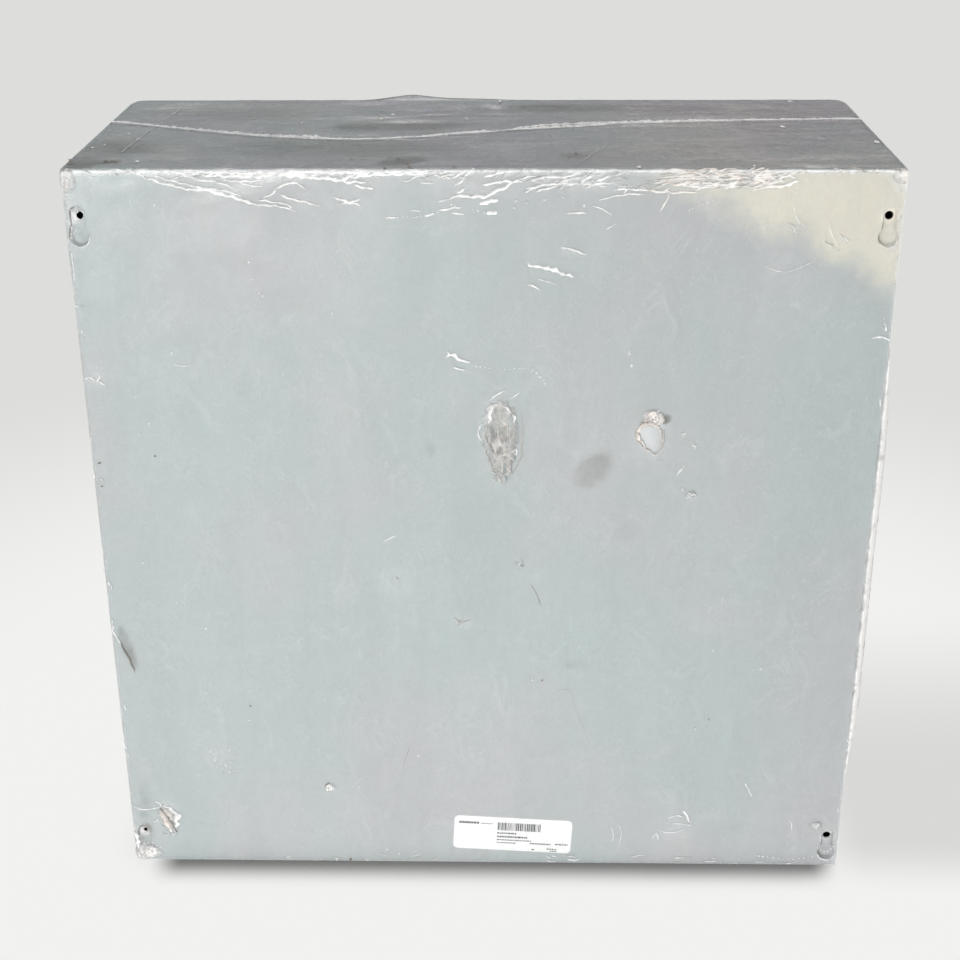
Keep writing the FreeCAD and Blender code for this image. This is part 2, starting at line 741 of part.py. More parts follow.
RAIL_FASTENERS = [
    (f"{side}_{level}", f"{sign}stud_offset", level)
    for side, sign in (("left", "-"), ("right", ""))
    for level in ("rail_low", "rail_high")
]


def make_rail_studs():
    """The four studs welded to the back that carry the rails."""
    studs = [
        cylinder(f"rail_stud_{name}", "stud_size/2", "stud_length", (x, BACK_IN, z), "-Y")
        for name, x, z in RAIL_FASTENERS
    ]
    return group("rail_studs", studs)


def make_washer(name, x, first_y, z):
    """A flat washer whose first face is at a rule along Y, running towards -Y."""
    disc = cylinder(f"{name}_disc", "washer_size/2", "washer_gauge", (x, first_y, z), "-Y")
    hole = cylinder(
        f"{name}_hole", "stud_size/2 + stud_play", "3*washer_gauge", (x, f"{first_y} + washer_gauge", z), "-Y"
    )
    return cut(name, disc, hole)


def make_rail_washers():
    """One washer under each rail nut."""
    web = f"({BACK_IN} - rail_gauge)"
    washers = [make_washer(f"rail_washer_{name}", x, web, z) for name, x, z in RAIL_FASTENERS]
    return group("rail_washers", washers)


def make_rail_nuts():
    """The four nuts that hold the rails on their studs."""
    face = f"({BACK_IN} - rail_gauge - washer_gauge)"
    nuts = [
        make_nut(f"rail_nut_{name}", (x, face, z), "hex_size", "hex_tall", "stud_size/2 + nut_fit")
        for name, x, z in RAIL_FASTENERS
    ]
    return group("rail_nuts", nuts)


# --- The ground lug --------------------------------------------------------------------------------

def make_ground_stud():
    """The stud welded to the back that the ground lug sits on."""
    root = ("ground_side", BACK_IN, "ground_level")
    return cylinder("ground_stud", "stud_size/2", "stud_length", root, "-Y")


def make_ground_lug():
    """A tongue on the stud, and above it a block with a wire bore up through it and a clamp screw's hole."""
    left = "ground_side - lug_wide/2"
    foot = "ground_level - lug_wide/2"
    tongue = box(
        "lug_tongue_plate", ("lug_wide", "lug_gauge", "lug_tongue"), (left, f"{BACK_IN} - lug_gauge", foot)
    )
    block = box(
        "lug_block_solid", ("lug_wide", "lug_deep", "lug_block"),
        (left, f"{BACK_IN} - lug_deep", "ground_level - lug_wide/2 + lug_tongue - lug_lap"),
    )
    stud_hole = cylinder(
        "lug_stud_hole", "stud_size/2 + stud_play", "3*lug_gauge",
        ("ground_side", f"{BACK_IN} + lug_gauge", "ground_level"), "-Y",
    )
    wire = cylinder(
        "lug_wire_hole", "wire_bore/2", "2*lug_block",
        ("ground_side", WIRE_Y, f"{foot} + lug_tongue - lug_block/2"),
    )
    thread = cylinder(
        "lug_thread", "clamp_screw/2 + hinge_play", "lug_deep", ("ground_side", WIRE_Y, CLAMP_Z), "-Y"
    )
    joined = fuse("lug_joined", [tongue, block])
    return cut("ground_lug", joined, group("lug_holes", [stud_hole, wire, thread]))


WIRE_Y = f"({BACK_IN} - lug_gauge - wire_bore/2)"
CLAMP_Z = "(ground_level - lug_wide/2 + lug_tongue - lug_lap + lug_block/2)"


def make_clamp_screw():
    """The lug's slotted clamp screw, its end level with the wire bore's wall."""
    start = f"({WIRE_Y} - wire_bore/2)"
    shank = cylinder("clamp_shank", "clamp_screw/2", "clamp_length", ("ground_side", start, CLAMP_Z), "-Y")
    slot = box(
        "clamp_slot", ("2*clamp_screw", "screw_slot_deep", "screw_slot"),
        ("ground_side - clamp_screw", f"{start} - clamp_length", f"{CLAMP_Z} - screw_slot/2"),
    )
    return cut("lug_clamp_screw", shank, slot)


# --- The label and the film ------------------------------------------------------------------------

def make_label():
    """The paper stock label on the back, stuck on a little crooked."""
    blank = doc.addObject("Part::Box", "label_blank")
    bind(blank, Length="label_wide", Width="label_thick", Height="label_tall")

    def corner(edge):
        return edge.BoundBox.YLength > 0.05 and edge.BoundBox.XLength < 1e-6 and edge.BoundBox.ZLength < 1e-6

    label = rounded("stock_label", blank, "label_corner", corner)
    turn = Rotation(Vector(0, 1, 0), size("label_tilt"))
    middle = turn.multVec(Vector(size("label_wide/2"), 0, size("label_tall/2")))
    label.Placement = FreeCAD.Placement(
        Vector(size("label_side") - middle.x, size(BACK), size("label_level") - middle.z), turn
    )
    return label


def make_film():
    """The shrink film left on the back, the top and the sides, cut away round the cover.

    It is open over each keyhole's screw hole, where a wall bolt goes through.
    """
    reach = "(film_gap + film_thick)"
    outer = box(
        "film_outer", (f"width + 2*{reach}", f"depth + {reach}", f"height + {reach}"),
        (f"-width/2 - {reach}", "-depth/2", "0"),
    )
    inner = box(
        "film_inner", ("width + 2*film_gap", "depth + film_gap + 1", "height + film_gap + 1"),
        ("-width/2 - film_gap", "-depth/2 - 1", "-1"),
    )
    front = box(
        "film_front", ("2*width", "depth - film_side + 2", "height - hood_drop + 1"),
        ("-width", "-depth/2 - 2", "-1"),
    )
    windows = [
        cylinder(f"film_window_{number}", "film_window/2", "2*gauge", (x, f"{BACK} - gauge/2", z), "+Y")
        for number, (x, z) in enumerate(KEYHOLES)
    ]
    return cut("shrink_film", cut("film_shell", outer, inner), group("film_openings", [front] + windows))


# --- The assembly ----------------------------------------------------------------------------------

SCREWS = (("upper", "screw_upper"), ("lower", "screw_lower"))

pieces = [
    make_wrapper(),
    make_top_cap(),
    make_bottom_cap(),
    make_front_header(),
    make_cover_pan(),
    make_cover_stiffener(),
    make_hinge_leaf("hinge_fixed_leaf", "0", "+", "fixed_leaf_width"),
    make_hinge_leaf("hinge_moving_leaf", "1", "-", "moving_leaf_width"),
    make_hinge_pin(),
    make_ear("cabinet_lock_ear", f"{FRONT} + bend_inner", f"{FRONT} + bend_inner + ear_gauge"),
    make_ear(
        "cover_lock_ear", f"{COVER_BACK} - bend_inner - ear_gauge",
        f"{COVER_BACK} - bend_inner - ear_gauge - ear_foot",
    ),
    make_clinch_nuts(),
    make_rail("instrument_rail_lower", "rail_low"),
    make_rail("instrument_rail_upper", "rail_high"),
    make_rail_studs(),
    make_rail_washers(),
    make_rail_nuts(),
    make_ground_stud(),
    make_ground_lug(),
    make_clamp_screw(),
    make_label(),
    make_film(),
]
lug_face = f"{BACK_IN} - lug_gauge"
ground_washer = make_washer("ground_washer", "ground_side", lug_face, "ground_level")
ground_nut = make_nut(
    "ground_nut", ("ground_side", f"{lug_face} - washer_gauge", "ground_level"),
    "hex_size", "hex_tall", "stud_size/2 + nut_fit",
)
pieces += [ground_washer, ground_nut]
for place_name, level in SCREWS:
    pieces.append(make_captive_screw(f"captive_screw_{place_name}", level))
    pieces.append(make_retaining_washer(f"retaining_washer_{place_name}", level))

doc.recompute()
for item in doc.Objects:
    if "Invalid" in item.State or "Error" in item.State:
        raise RuntimeError(f"{item.Name} did not compute: {item.State}")
for piece in pieces:
    if piece.Shape.isNull() or not piece.Shape.isValid() or not piece.Shape.Solids:
        raise RuntimeError(f"{piece.Name} has no valid solid")

os.makedirs("parts", exist_ok=True)
for piece in pieces:
    piece.Label = piece.Name
    piece.Shape.exportStep(os.path.join("parts", f"{piece.Label}.step"))
    bounds = piece.Shape.BoundBox
    print(
        f"{piece.Label:26s} solids {len(piece.Shape.Solids):2d}  volume {piece.Shape.Volume / 1000:9.2f} cm3"
        f"  x {bounds.XMin:8.2f} {bounds.XMax:8.2f}  y {bounds.YMin:8.2f} {bounds.YMax:8.2f}"
        f"  z {bounds.ZMin:8.2f} {bounds.ZMax:8.2f}"
    )
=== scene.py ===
"""Looks for a steel current transformer cabinet, still in its shrink film, seen from the back.

Everything is in metres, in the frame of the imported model, except the marks on the film. Those are
in millimetres, as somebody facing the back measures them with a rule: across from the +X edge and
down from the top edge. Marks on the top are in millimetres too, as X and Y."""

import json
import math
import random

import bpy
from mathutils import Euler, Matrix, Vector, noise


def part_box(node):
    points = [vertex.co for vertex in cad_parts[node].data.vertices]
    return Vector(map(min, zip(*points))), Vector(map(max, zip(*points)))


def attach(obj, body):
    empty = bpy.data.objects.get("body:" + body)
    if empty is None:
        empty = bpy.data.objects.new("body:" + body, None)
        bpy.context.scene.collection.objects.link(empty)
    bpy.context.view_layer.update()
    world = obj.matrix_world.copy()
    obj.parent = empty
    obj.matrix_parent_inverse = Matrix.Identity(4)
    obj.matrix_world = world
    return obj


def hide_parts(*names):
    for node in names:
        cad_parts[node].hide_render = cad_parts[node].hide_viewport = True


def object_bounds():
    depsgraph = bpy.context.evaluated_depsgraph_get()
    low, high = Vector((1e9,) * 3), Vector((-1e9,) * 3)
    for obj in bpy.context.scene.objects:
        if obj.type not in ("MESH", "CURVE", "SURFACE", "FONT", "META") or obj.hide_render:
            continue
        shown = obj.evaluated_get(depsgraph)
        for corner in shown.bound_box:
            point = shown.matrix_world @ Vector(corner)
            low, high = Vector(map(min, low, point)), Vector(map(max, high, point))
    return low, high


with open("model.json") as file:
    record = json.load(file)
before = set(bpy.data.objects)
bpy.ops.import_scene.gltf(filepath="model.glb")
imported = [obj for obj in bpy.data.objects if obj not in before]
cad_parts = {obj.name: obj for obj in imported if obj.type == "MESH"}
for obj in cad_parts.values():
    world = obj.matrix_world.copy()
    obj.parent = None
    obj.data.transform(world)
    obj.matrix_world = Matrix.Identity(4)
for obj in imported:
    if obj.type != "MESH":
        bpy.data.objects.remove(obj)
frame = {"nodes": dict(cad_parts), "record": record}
CAD_BOX = [list(corner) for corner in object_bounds()]

MM = 0.001
FILM_LOW, FILM_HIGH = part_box("shrink_film")
WRAP_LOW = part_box("wrapper")[0]
LABEL_LOW, LABEL_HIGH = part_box("stock_label")
HEIGHT = FILM_HIGH.z

# ------------------------------------------------------------------ shapes of the film
UPRIGHT_BEND = 0.003      # radius of the film round an upright corner
CREST_BEND = 0.0024       # and over the top edges
HOOD_CORNER = 0.016       # radius of the hood's front corners
BILLOW = (0.13, 0.52)     # start and end of the loose fold off the -X corner, going down
BILLOW_RAMPS = (0.16, 0.10)   # over what height it rises at its start and falls at its end
BILLOW_OUT = 0.0058       # how far it stands out
BILLOW_AT = 0.009         # and how far round the corner
SKIRT = 0.0008            # the film's lower edge, above the floor
SIDE_EDGE, HOOD_EDGE = -0.068, -0.111   # Y of the film's cut edge on the sides, and under the hood
CELL = 0.003              # spacing of the film's vertices
SIDE_CELL, BEND_CELL, CREST_CELL = 0.004, 0.0008, 0.0006   # on the sides, corners and top edges
CLEAR = 0.00012           # gap between the film and what lies on it
TOP_GAP = 0.00015         # gap between the CAD box and the film over the top
BORDER_OUT, BORDER_DOWN = 0.0013, 0.0011   # the top film's border laps over the edge
BACK_SPAN = 2 * FILM_HIGH.x                     # the back's film, corner to corner
TURN_LENGTH = UPRIGHT_BEND * math.pi / 2        # film used up by one upright corner
SIDE_RUN = FILM_HIGH.y - UPRIGHT_BEND - SIDE_EDGE   # from a corner to the film's cut edge
HOOD_RUN = FILM_HIGH.y - UPRIGHT_BEND - HOOD_EDGE   # the same under the hood's sides
HOOD_DOWN = 0.012         # how far down the hood's own strip of film reaches

# soft swells of the film: across, down, half width, half height, tilt in degrees, height
SWELLS = (
    (372, 60, 11, 5, 8, 0.9), (344, 88, 7, 4, 15, 0.5), (290, 147, 12, 6, -10, 0.6),
    (318, 213, 24, 40, 0, 0.8), (434, 208, 22, 26, 0, 0.9), (536, 40, 9, 5, 30, 0.5),
    (561, 47, 9, 5, 40, 0.5), (470, 573, 12, 14, 10, 0.8), (420, 585, 5, 14, 4, 0.6),
    (452, 598, 9, 3, 0, 0.6), (480, 600, 10, 3, 0, 0.7), (512, 598, 11, 3, 4, 0.6),
    (540, 601, 9, 3, 0, 0.5), (589, 569, 5, 5, 0, 0.7), (32, 562, 11, 17, 12, 1.1),
    (12, 390, 8, 26, -12, 0.9), (10, 160, 10, 10, 0, 0.7), (288, 370, 10, 9, 0, 0.4),
    (60, 12, 40, 6, -15, 0.15), (150, 14, 40, 8, -8, 0.4), (300, 12, 40, 8, 4, 0.4),
    (480, 9, 45, 6, 0, 0.8), (375, 8, 35, 6, 4, 0.7),
)
# milky places: across, down, half width, half height, tilt, share of white
HAZES = (
    (180, 4, 100, 5, 0, 0.2), (480, 8, 46, 6, 0, 0.2), (372, 8, 38, 6, 3, 0.34),
    (60, 8, 30, 4, -12, 0.18), (130, 14, 50, 6, -14, 0.2), (300, 14, 45, 6, 5, 0.14),
    (318, 213, 15, 32, 0, 0.26), (312, 190, 7, 10, 10, 0.3), (434, 208, 17, 20, 0, 0.2),
    (468, 25, 10, 7, 0, 0.12), (236, 334, 14, 14, 0, 0.1), (288, 370, 9, 8, 0, 0.16),
    (32, 562, 10, 17, 12, 0.3), (8, 600, 10, 9, 0, 0.3), (470, 573, 14, 15, 0, 0.14),
    (480, 370, 18, 14, 0, 0.07), (372, 60, 9, 3, 8, 0.22), (10, 160, 7, 7, 0, 0.22),
    (80, 500, 16, 12, 0, 0.1), (4, 30, 5, 26, 0, 0.22), (11.1, 578.1, 4.4, 4.8, 0, 0.43),
    (9.4, 33.2, 3.6, 4.6, 0, 0.4), (4, 585, 4, 14, 0, 0.2),
    (606, 6, 8, 8, 0, 0.34), (5, 6, 8, 8, 0, 0.34), (602, 40, 5, 30, 0, 0.14),
    (535, 105, 75, 45, 15, 0.05),
)
# darker smudges, and painted shadows: across, down, half width, half height, tilt, share of grey
SMUDGES_AND_SHADOWS = (
    (391.5, 235.5, 23.5, 13, -45, 0.15), (264, 217, 5, 10, -8, 0.11), (418, 290, 17, 11, -35, 0.08),
    (379, 410, 17, 7, 8, 0.08), (470, 318, 6, 18, 0, 0.06), (236, 334, 27, 26, 0, 0.06),
    # in the next row the second spot is a painted shadow beside the film bunched over the torn hole
    (318, 212, 13, 30, 0, 0.10), (445.5, 193, 2.6, 4, 10, 0.75), (12, 395, 4, 20, -14, 0.28),
    (70, 420, 60, 90, 10, 0.04), (150, 260, 90, 70, 20, 0.035), (330, 470, 120, 60, 0, 0.035),
    (455, 440, 50, 70, 0, 0.03), (225, 120, 80, 50, 0, 0.03), (520, 250, 50, 90, 0, 0.03),
    (14, 14, 14, 12, 0, 0.06), (11.1, 578.1, 4.4, 4.8, 0, 0.84),
    (9.4, 33.2, 3.6, 4.6, 0, 0.72), (28, 562, 6, 10, 0, 0.2), (8, 603, 9, 8, 0, 0.24),
    (14, 560, 9, 40, 0, 0.1), (290, 600, 150, 9, 0, 0.05), (5, 60, 5, 60, 0, 0.1),
)

# ------------------------------------------------------------------ creases on the back
# breadth and height of the fold, then its route
CREASES = (
    (2.0, 0.9, ((48.8, 0.3), (65, 6.5), (83.8, 12.8), (103.8, 15.3), (116, 17.8), (141, 25.3),
                (157.5, 27.1), (170, 30.6))),
    (1.4, 0.7, ((66, 3.4), (87.5, 9.6), (106, 14), (118.8, 15.3), (131, 19.6))),
    (1.3, 0.6, ((85, 2.1), (97.5, 6.5), (112.5, 9), (126, 13.4))),
    (1.3, 0.6, ((118.8, 7.8), (134, 8.4), (150, 7.1))),
    (1.1, 0.5, ((131, 9.6), (138.8, 11.5), (147, 12.1))),
    (1.5, 0.7, ((143, 22.1), (154, 23.8), (162.5, 25.3), (167.5, 28.4))),
    (1.6, 0.8, ((147, 20.6), (153, 18), (156, 14.5), (161, 11.5), (168.8, 9.6), (174, 11.5),
                (177, 14.6))),
    (1.4, 0.6, ((158.8, 18.4), (167, 21.6), (175, 23.4), (187.5, 26.5))),
    (1.6, 0.7, ((197.5, 19.6), (208.8, 24), (217.5, 26.5))),
    (1.2, 0.6, ((200, 26), (208.8, 24), (217.5, 21.9))),
    (1.8, 0.7, ((205.5, 9.3), (213, 9), (221.6, 9.5))),
    (1.7, 0.6, ((213.5, 11.8), (220, 12.8), (226.6, 14.2))),
    (2.2, 0.8, ((85, 3), (110, 4.4), (140, 5.1), (165, 4.2), (200, 7), (212.5, 5), (237, 3.5),
                (262, 3.1), (280, 2))),
    (1.8, 0.7, ((90, 1.8), (130, 2.6), (175, 2), (220, 2.4), (275, 0.9))),
    (1.0, 0.5, ((261, 9.5), (266, 9.9), (271, 9.5))),
    (1.3, 0.6, ((284.4, 6.5), (288.8, 3.4))),
    (1.5, 0.7, ((285.6, 11.5), (289, 9.3), (291.9, 6.3))),
    (1.4, 0.6, ((286.9, 17), (290, 15.6), (293, 13.4))),
    (2.2, 1.0, ((274.4, 24), (277, 22), (280, 20.9), (290, 19.4), (300, 19.8), (307.5, 19.6),
                (312.5, 17), (321, 13.4), (326, 10), (331, 7.8), (341, 4))),
    (1.2, 0.5, ((273, 30.3), (282, 28.6), (290, 27.8))),
    (1.0, 0.4, ((283, 32), (292, 33))),
    (1.0, 0.4, ((253.8, 30.3), (260.6, 30))),
    (1.2, 0.5, ((253.2, 35.2), (259, 34.9))),
    (1.2, 0.5, ((262.5, 34), (270.6, 32.5))),
    (1.0, 0.4, ((236, 35.5), (243, 35))),
    (2.6, 0.8, ((303.4, 25.2), (309, 23.6), (317, 22.8))),
    (2.6, 0.7, ((308.6, 32.8), (315.6, 30))),
    (1.6, 0.7, ((306, 11.3), (315, 9.4), (325, 8.4), (334, 9.2))),
    (1.6, 0.7, ((306.9, 5.3), (313, 3.4), (321, 2))),
    (1.3, 0.6, ((337.5, 14), (350, 11.5), (366, 10.3), (383, 10.6), (400, 9.6))),
    (1.5, 0.7, ((341, 7.8), (352, 5.6), (364, 5.2), (377.5, 2))),
    (1.4, 0.7, ((344, 16), (356, 13.2), (362, 9), (371, 6.2))),
    (1.3, 0.6, ((387.5, 8.4), (396, 5.2), (405, 2.8), (414, 1.6))),
    (1.2, 0.5, ((390, 22.5), (397, 20), (405, 19))),
    (0.8, 0.4, ((385, 26.8), (392.5, 29), (399.4, 33.8))),
    (1.2, 0.5, ((366, 32.5), (373, 31.6), (380.6, 32))),
    (1.0, 0.4, ((396, 44), (402.5, 40))),
    (1.6, 0.7, ((400, 15.3), (412, 14.4), (425, 15.3), (441, 16.5), (460, 17))),
    (1.1, 0.5, ((400, 19.6), (412.5, 17.8), (421.9, 18.8))),
    (1.5, 0.7, ((428.8, 10.9), (433, 9.4), (437.5, 8), (448, 6.6), (458.8, 7))),
    (1.6, 0.8, ((450, 11.5), (462.5, 12.8), (472, 10.8), (480, 11.5), (492, 8.4), (503, 9.2))),
    (1.9, 0.9, ((462, 3), (474, 7.4), (486, 5.6), (498, 6.8), (512.5, 9.6), (520, 6.5),
                (531, 1.5))),
    (1.5, 0.8, ((440, 3.4), (456, 2.2), (470, 4.8), (484, 2.4), (500, 3.6), (516, 2))),
    (1.3, 0.7, ((478, 14), (489, 12), (500, 12.8), (510, 8.6), (518, 4))),
    (0.9, 0.4, ((440, 17.8), (438, 24), (433.8, 30.9))),
    (2.4, 0.9, ((338.6, 70.1), (346, 72.4), (355, 74), (363, 77), (372.4, 80))),
    (1.4, 0.5, ((338, 85.8), (343, 87.4), (348, 90))),
    (1.1, 0.5, ((363, 57.6), (371, 58.8), (382, 63.4))),
    (0.8, 0.4, ((346.7, 81.7), (360, 85.8))),
    (2.0, 0.8, ((278.7, 140.4), (284, 141.6), (290, 145.4), (295.6, 147))),
    (1.3, 0.6, ((277, 144), (279.5, 140.6), (278, 138.6))),
    (1.4, 0.6, ((283, 150.8), (287, 152.4), (291.7, 152.8))),
    (0.9, 0.4, ((310, 177.5), (316, 172.6), (322.5, 168.7))),
    (0.9, 0.4, ((325.8, 176.7), (333, 171))),
    (0.6, 0.3, ((2.4, 62), (3, 72), (2.4, 84))),
    (1.0, 0.5, ((0.4, 103), (6.7, 103.4))),
    (1.2, 0.6, ((2.5, 161), (5.1, 159.5), (7.6, 160.1), (9.9, 162.6))),
    (0.9, 0.4, ((10.6, 163.2), (12.6, 161), (14, 158.2))),
    (1.0, 0.5, ((10.3, 161.4), (13.4, 163.5), (16.8, 166))),
    (0.7, 0.3, ((71, 149), (77, 150.4), (83, 150))),
    (0.8, 0.4, ((226, 298), (236, 293))),
    (1.1, 0.5, ((0.4, 553), (3.7, 554.6), (11.2, 557), (22.7, 554.9), (25.4, 553.8))),
    (1.0, 0.5, ((526, 526), (529.6, 532), (532, 539))),
    (1.3, 0.6, ((475, 554), (479, 560), (480.5, 566))),
    (0.8, 0.4, ((462, 562), (470, 559), (476, 561))),
    (0.7, 0.3, ((455, 574), (464, 577), (477, 573))),
    (0.7, 0.3, ((450, 583), (453, 578), (455, 585))),
    (0.5, 0.2, ((465, 568), (474, 567), (480, 569))),
    (0.5, 0.2, ((566, 563), (568.6, 568), (569, 574))),
    (0.4, 0.2, ((414, 572), (416, 580), (415, 588))),
    (0.4, 0.2, ((421, 570), (423, 579), (421, 590))),
    (0.7, 0.3, ((455, 240), (461, 231))),
    (1.5, 0.7, ((595.3, 127.5), (602.5, 126), (609, 129.4))),
    (0.5, 0.2, ((530, 27), (533, 36), (541, 43))),
    (0.4, 0.2, ((556, 38), (560, 50), (566, 58))),
    (0.4, 0.2, ((512, 72), (528, 76), (548, 68))),
)
# folds with a tint of their own, some of them painted shade and painted highlights: breadth,
# height, white, tan, grime, then the route
TINTED_FOLDS = (
    # the first five, white over the crumple's upper part and left side, are partly whitened film
    # and partly painted highlights
    (2.4, 1.4, 0.8, 0.0, 0.0, ((308, 184.4), (312, 182), (317, 181))),
    (4.8, 1.5, 0.9, 0.0, 0.0, ((313, 183), (311.6, 190), (309.4, 196))),
    (2.0, 1.2, 0.75, 0.05, 0.0, ((320, 182), (324, 184), (327.4, 188))),
    (2.6, 1.3, 0.8, 0.0, 0.0, ((327, 188), (329.4, 192), (329, 196))),
    (1.7, 1.2, 0.8, 0.05, 0.0, ((306, 195), (302.8, 200), (301.8, 206), (304, 211))),
    (1.2, 0.9, 0.5, 0.15, 0.0, ((308, 199), (306, 205), (306.5, 210))),
    (1.0, 0.5, 0.08, 0.22, 0.1, ((304, 212), (308, 222), (312, 232), (316, 244))),
    (1.0, 0.5, 0.08, 0.2, 0.14, ((334, 189), (335.6, 200), (335.4, 214), (334, 227), (325, 244))),
    (1.6, 0.7, 0.06, 0.12, 0.3, ((306.6, 207), (309.3, 212), (312, 217), (314.7, 222.4))),
    (1.3, 0.8, 0.25, 0.16, 0.06, ((318, 196), (317, 206), (319, 218))),
    (1.2, 0.7, 0.2, 0.2, 0.12, ((323, 194), (324, 206), (323, 219))),
    (1.1, 0.7, 0.2, 0.2, 0.12, ((329, 198), (330, 208), (328, 220))),
    (1.2, 0.7, 0.3, 0.12, 0.04, ((312, 202), (313, 212), (311, 221))),
    (1.5, 0.9, 0.6, 0.1, 0.0, ((313, 228), (318, 225), (324, 225.4))),
    (2.4, 1.1, 0.75, 0.05, 0.0, ((327, 221), (330.6, 218), (331, 223))),
    (1.3, 0.8, 0.45, 0.16, 0.0, ((312, 236), (316, 240), (318, 246))),
    (1.5, 0.9, 0.55, 0.12, 0.0, ((317, 233), (320, 240), (324, 237))),
    (1.2, 0.8, 0.4, 0.2, 0.06, ((322, 230), (325, 236), (321, 243))),
    (1.2, 0.8, 0.5, 0.14, 0.0, ((315, 229), (313, 234), (317, 238))),
    (1.6, 1.2, 0.3, 0.55, 0.0, ((427, 197), (430, 193), (434, 190))),
    (1.5, 1.2, 0.4, 0.45, 0.0, ((431, 195), (434, 190), (437, 187))),
    (1.7, 1.4, 0.6, 0.4, 0.0, ((434, 196.6), (437, 191.6), (441, 187.6))),
    (1.5, 1.3, 0.45, 0.5, 0.04, ((438, 197.6), (440.6, 194), (442.5, 189.6))),
    (1.2, 1.1, 0.25, 0.6, 0.06, ((429, 192), (436, 193.6), (442, 192.3))),
    (1.1, 1.0, 0.35, 0.4, 0.0, ((430, 190), (434, 186.4), (439, 186))),
    (0.9, 0.8, 0.2, 0.4, 0.05, ((422, 202), (422.4, 208), (426, 213), (433, 220.4))),
    (1.0, 0.9, 0.3, 0.4, 0.0, ((443.4, 201), (443.8, 210), (441.6, 220))),
    (1.8, 1.0, 0.1, 0.45, 0.3, ((7, 392), (9.4, 399), (13, 409), (16, 420))),
    (1.4, 0.9, 0.5, 0.2, 0.0, ((1, 380), (5, 387), (8, 396))),
    (6.0, 1.3, 0.5, 0.0, 0.0, ((34, 554.6), (37.4, 559), (39.2, 566), (38.2, 575))),
    (2.0, 1.1, 0.08, 0.3, 0.34, ((25.4, 554.5), (30.8, 562.1), (35, 571.6), (38, 581))),
    (4.6, 1.2, 0.4, 0.5, 0.0, ((26.8, 562), (29.6, 570), (33.6, 580))),
    (1.2, 0.8, 0.7, 0.0, 0.0, ((22, 548.3), (25, 550), (27, 553.4))),
    (1.2, 0.8, 0.75, 0.0, 0.0, ((28, 552.6), (32, 553.4), (36, 555.4))),
    (1.3, 0.8, 0.7, 0.1, 0.0, ((28, 583), (32, 584.4), (36, 582))),
    (1.4, 0.8, 0.7, 0.0, 0.0, ((24, 566), (20, 569), (17, 568))),
    (3.8, 1.2, 0.6, 0.0, 0.0, ((1.6, 581), (3.4, 589), (3.0, 598))),
    # the next two are painted shade: dark lines along the outer side of the two screw holes on the
    # +X side
    (1.3, 0.5, 0.05, 0.05, 0.8, ((10.5, 573.9), (7, 574.6), (5.2, 577.6), (5, 584), (4.9, 590),
                                 (3.4, 595))),
    (1.3, 0.5, 0.05, 0.05, 0.6, ((8.4, 27.1), (5.6, 29), (4.7, 33), (4.7, 40), (3.3, 45),
                                 (2.7, 50), (4, 54.6))),
    (0.9, 0.4, 0.1, 0.25, 0.15, ((280, 366), (287, 371), (295, 368))),
    (0.8, 0.4, 0.1, 0.2, 0.15, ((283, 375), (288, 369), (290, 363))),
    (0.7, 0.3, 0.08, 0.0, 0.18, ((244, 486), (241, 496), (236, 510))),
    (0.8, 0.4, 0.06, 0.0, 0.2, ((343, 336), (348, 346), (352, 358))),
    (0.8, 0.4, 0.08, 0.05, 0.2, ((330, 316), (337, 320), (335, 312))),
    (0.5, 0.3, 0.1, 0.0, 0.16, ((365, 436), (375, 435), (382, 456), (388, 476), (392, 488))),
    # the last three are painted highlights along the lower rims of three screw holes
    (1.3, 0.9, 0.9, 0.0, 0.0, ((17.4, 49.4), (16.6, 53.2), (14.5, 56), (11.5, 57.4), (8.3, 57.3),
                               (5.5, 56))),
    (1.1, 0.8, 0.75, 0.08, 0.0, ((607.8, 51), (606.6, 54.2), (603.8, 56.6), (600.4, 57.5),
                                 (597, 56.6), (594.4, 54.4))),
    (1.0, 0.8, 0.8, 0.0, 0.0, ((607.7, 598), (605.8, 601.6), (602.4, 603.7), (598.6, 603.7),
                               (595.2, 601.8), (593.2, 598))),
)
# rows of pricks: a route, and the length of a step
DOTTED = (
    (((298, 149.5), (316.7, 152.5), (341, 152.5), (353, 165)), 1.7),
    (((236, 35.6), (262, 34.2), (273, 31.5)), 1.5), (((328, 28), (337, 24), (352, 22)), 2.0),
    (((283, 26), (300, 30), (312, 33)), 1.8), (((455, 30), (463, 26), (474, 22)), 1.6),
    (((4, 18), (6, 34), (3, 52)), 1.9),
    (((2, 596), (14, 592), (26, 600)), 1.8),
    (((590, 590), (600, 596), (606, 590)), 1.6), (((540, 600), (566, 604), (590, 601)), 2.0),
)
# short wrinkles strewn over a band: across from and to, down from and to, how many, length, tilt
STREWN = (
    (84, 282, 0.8, 6.4, 74, 11, -3), (336, 408, 1.5, 14.5, 46, 11, -14),
    (529, 545, 36, 48, 6, 7, 50), (552, 572, 44, 62, 8, 8, 45), (280, 340, 1, 12, 16, 8, -28),
    (14, 90, 0.6, 5, 16, 7, 16),
    (404, 440, 1, 18, 12, 8, -8), (526, 606, 0.6, 3, 12, 10, 0), (0, 5, 10, 28, 9, 4, -60),
    (603, 610, 14, 150, 12, 4, 60), (310, 328, 214, 244, 16, 6, 70),
    (150, 600, 601, 609, 22, 9, 0), (0, 30, 596, 609, 14, 6, 20), (22, 42, 546, 584, 6, 4, 50),
    (74, 96, 493, 520, 34, 1.6, 30), (430, 442, 184, 190, 9, 3, -50),
    (0, 5, 200, 520, 14, 6, 84), (606, 610, 160, 560, 7, 6, 88),
)
# the same for the thick band by the corner with the painted warm light
THICK_BAND = (438, 526, 1.4, 12.6, 72, 18, -8)
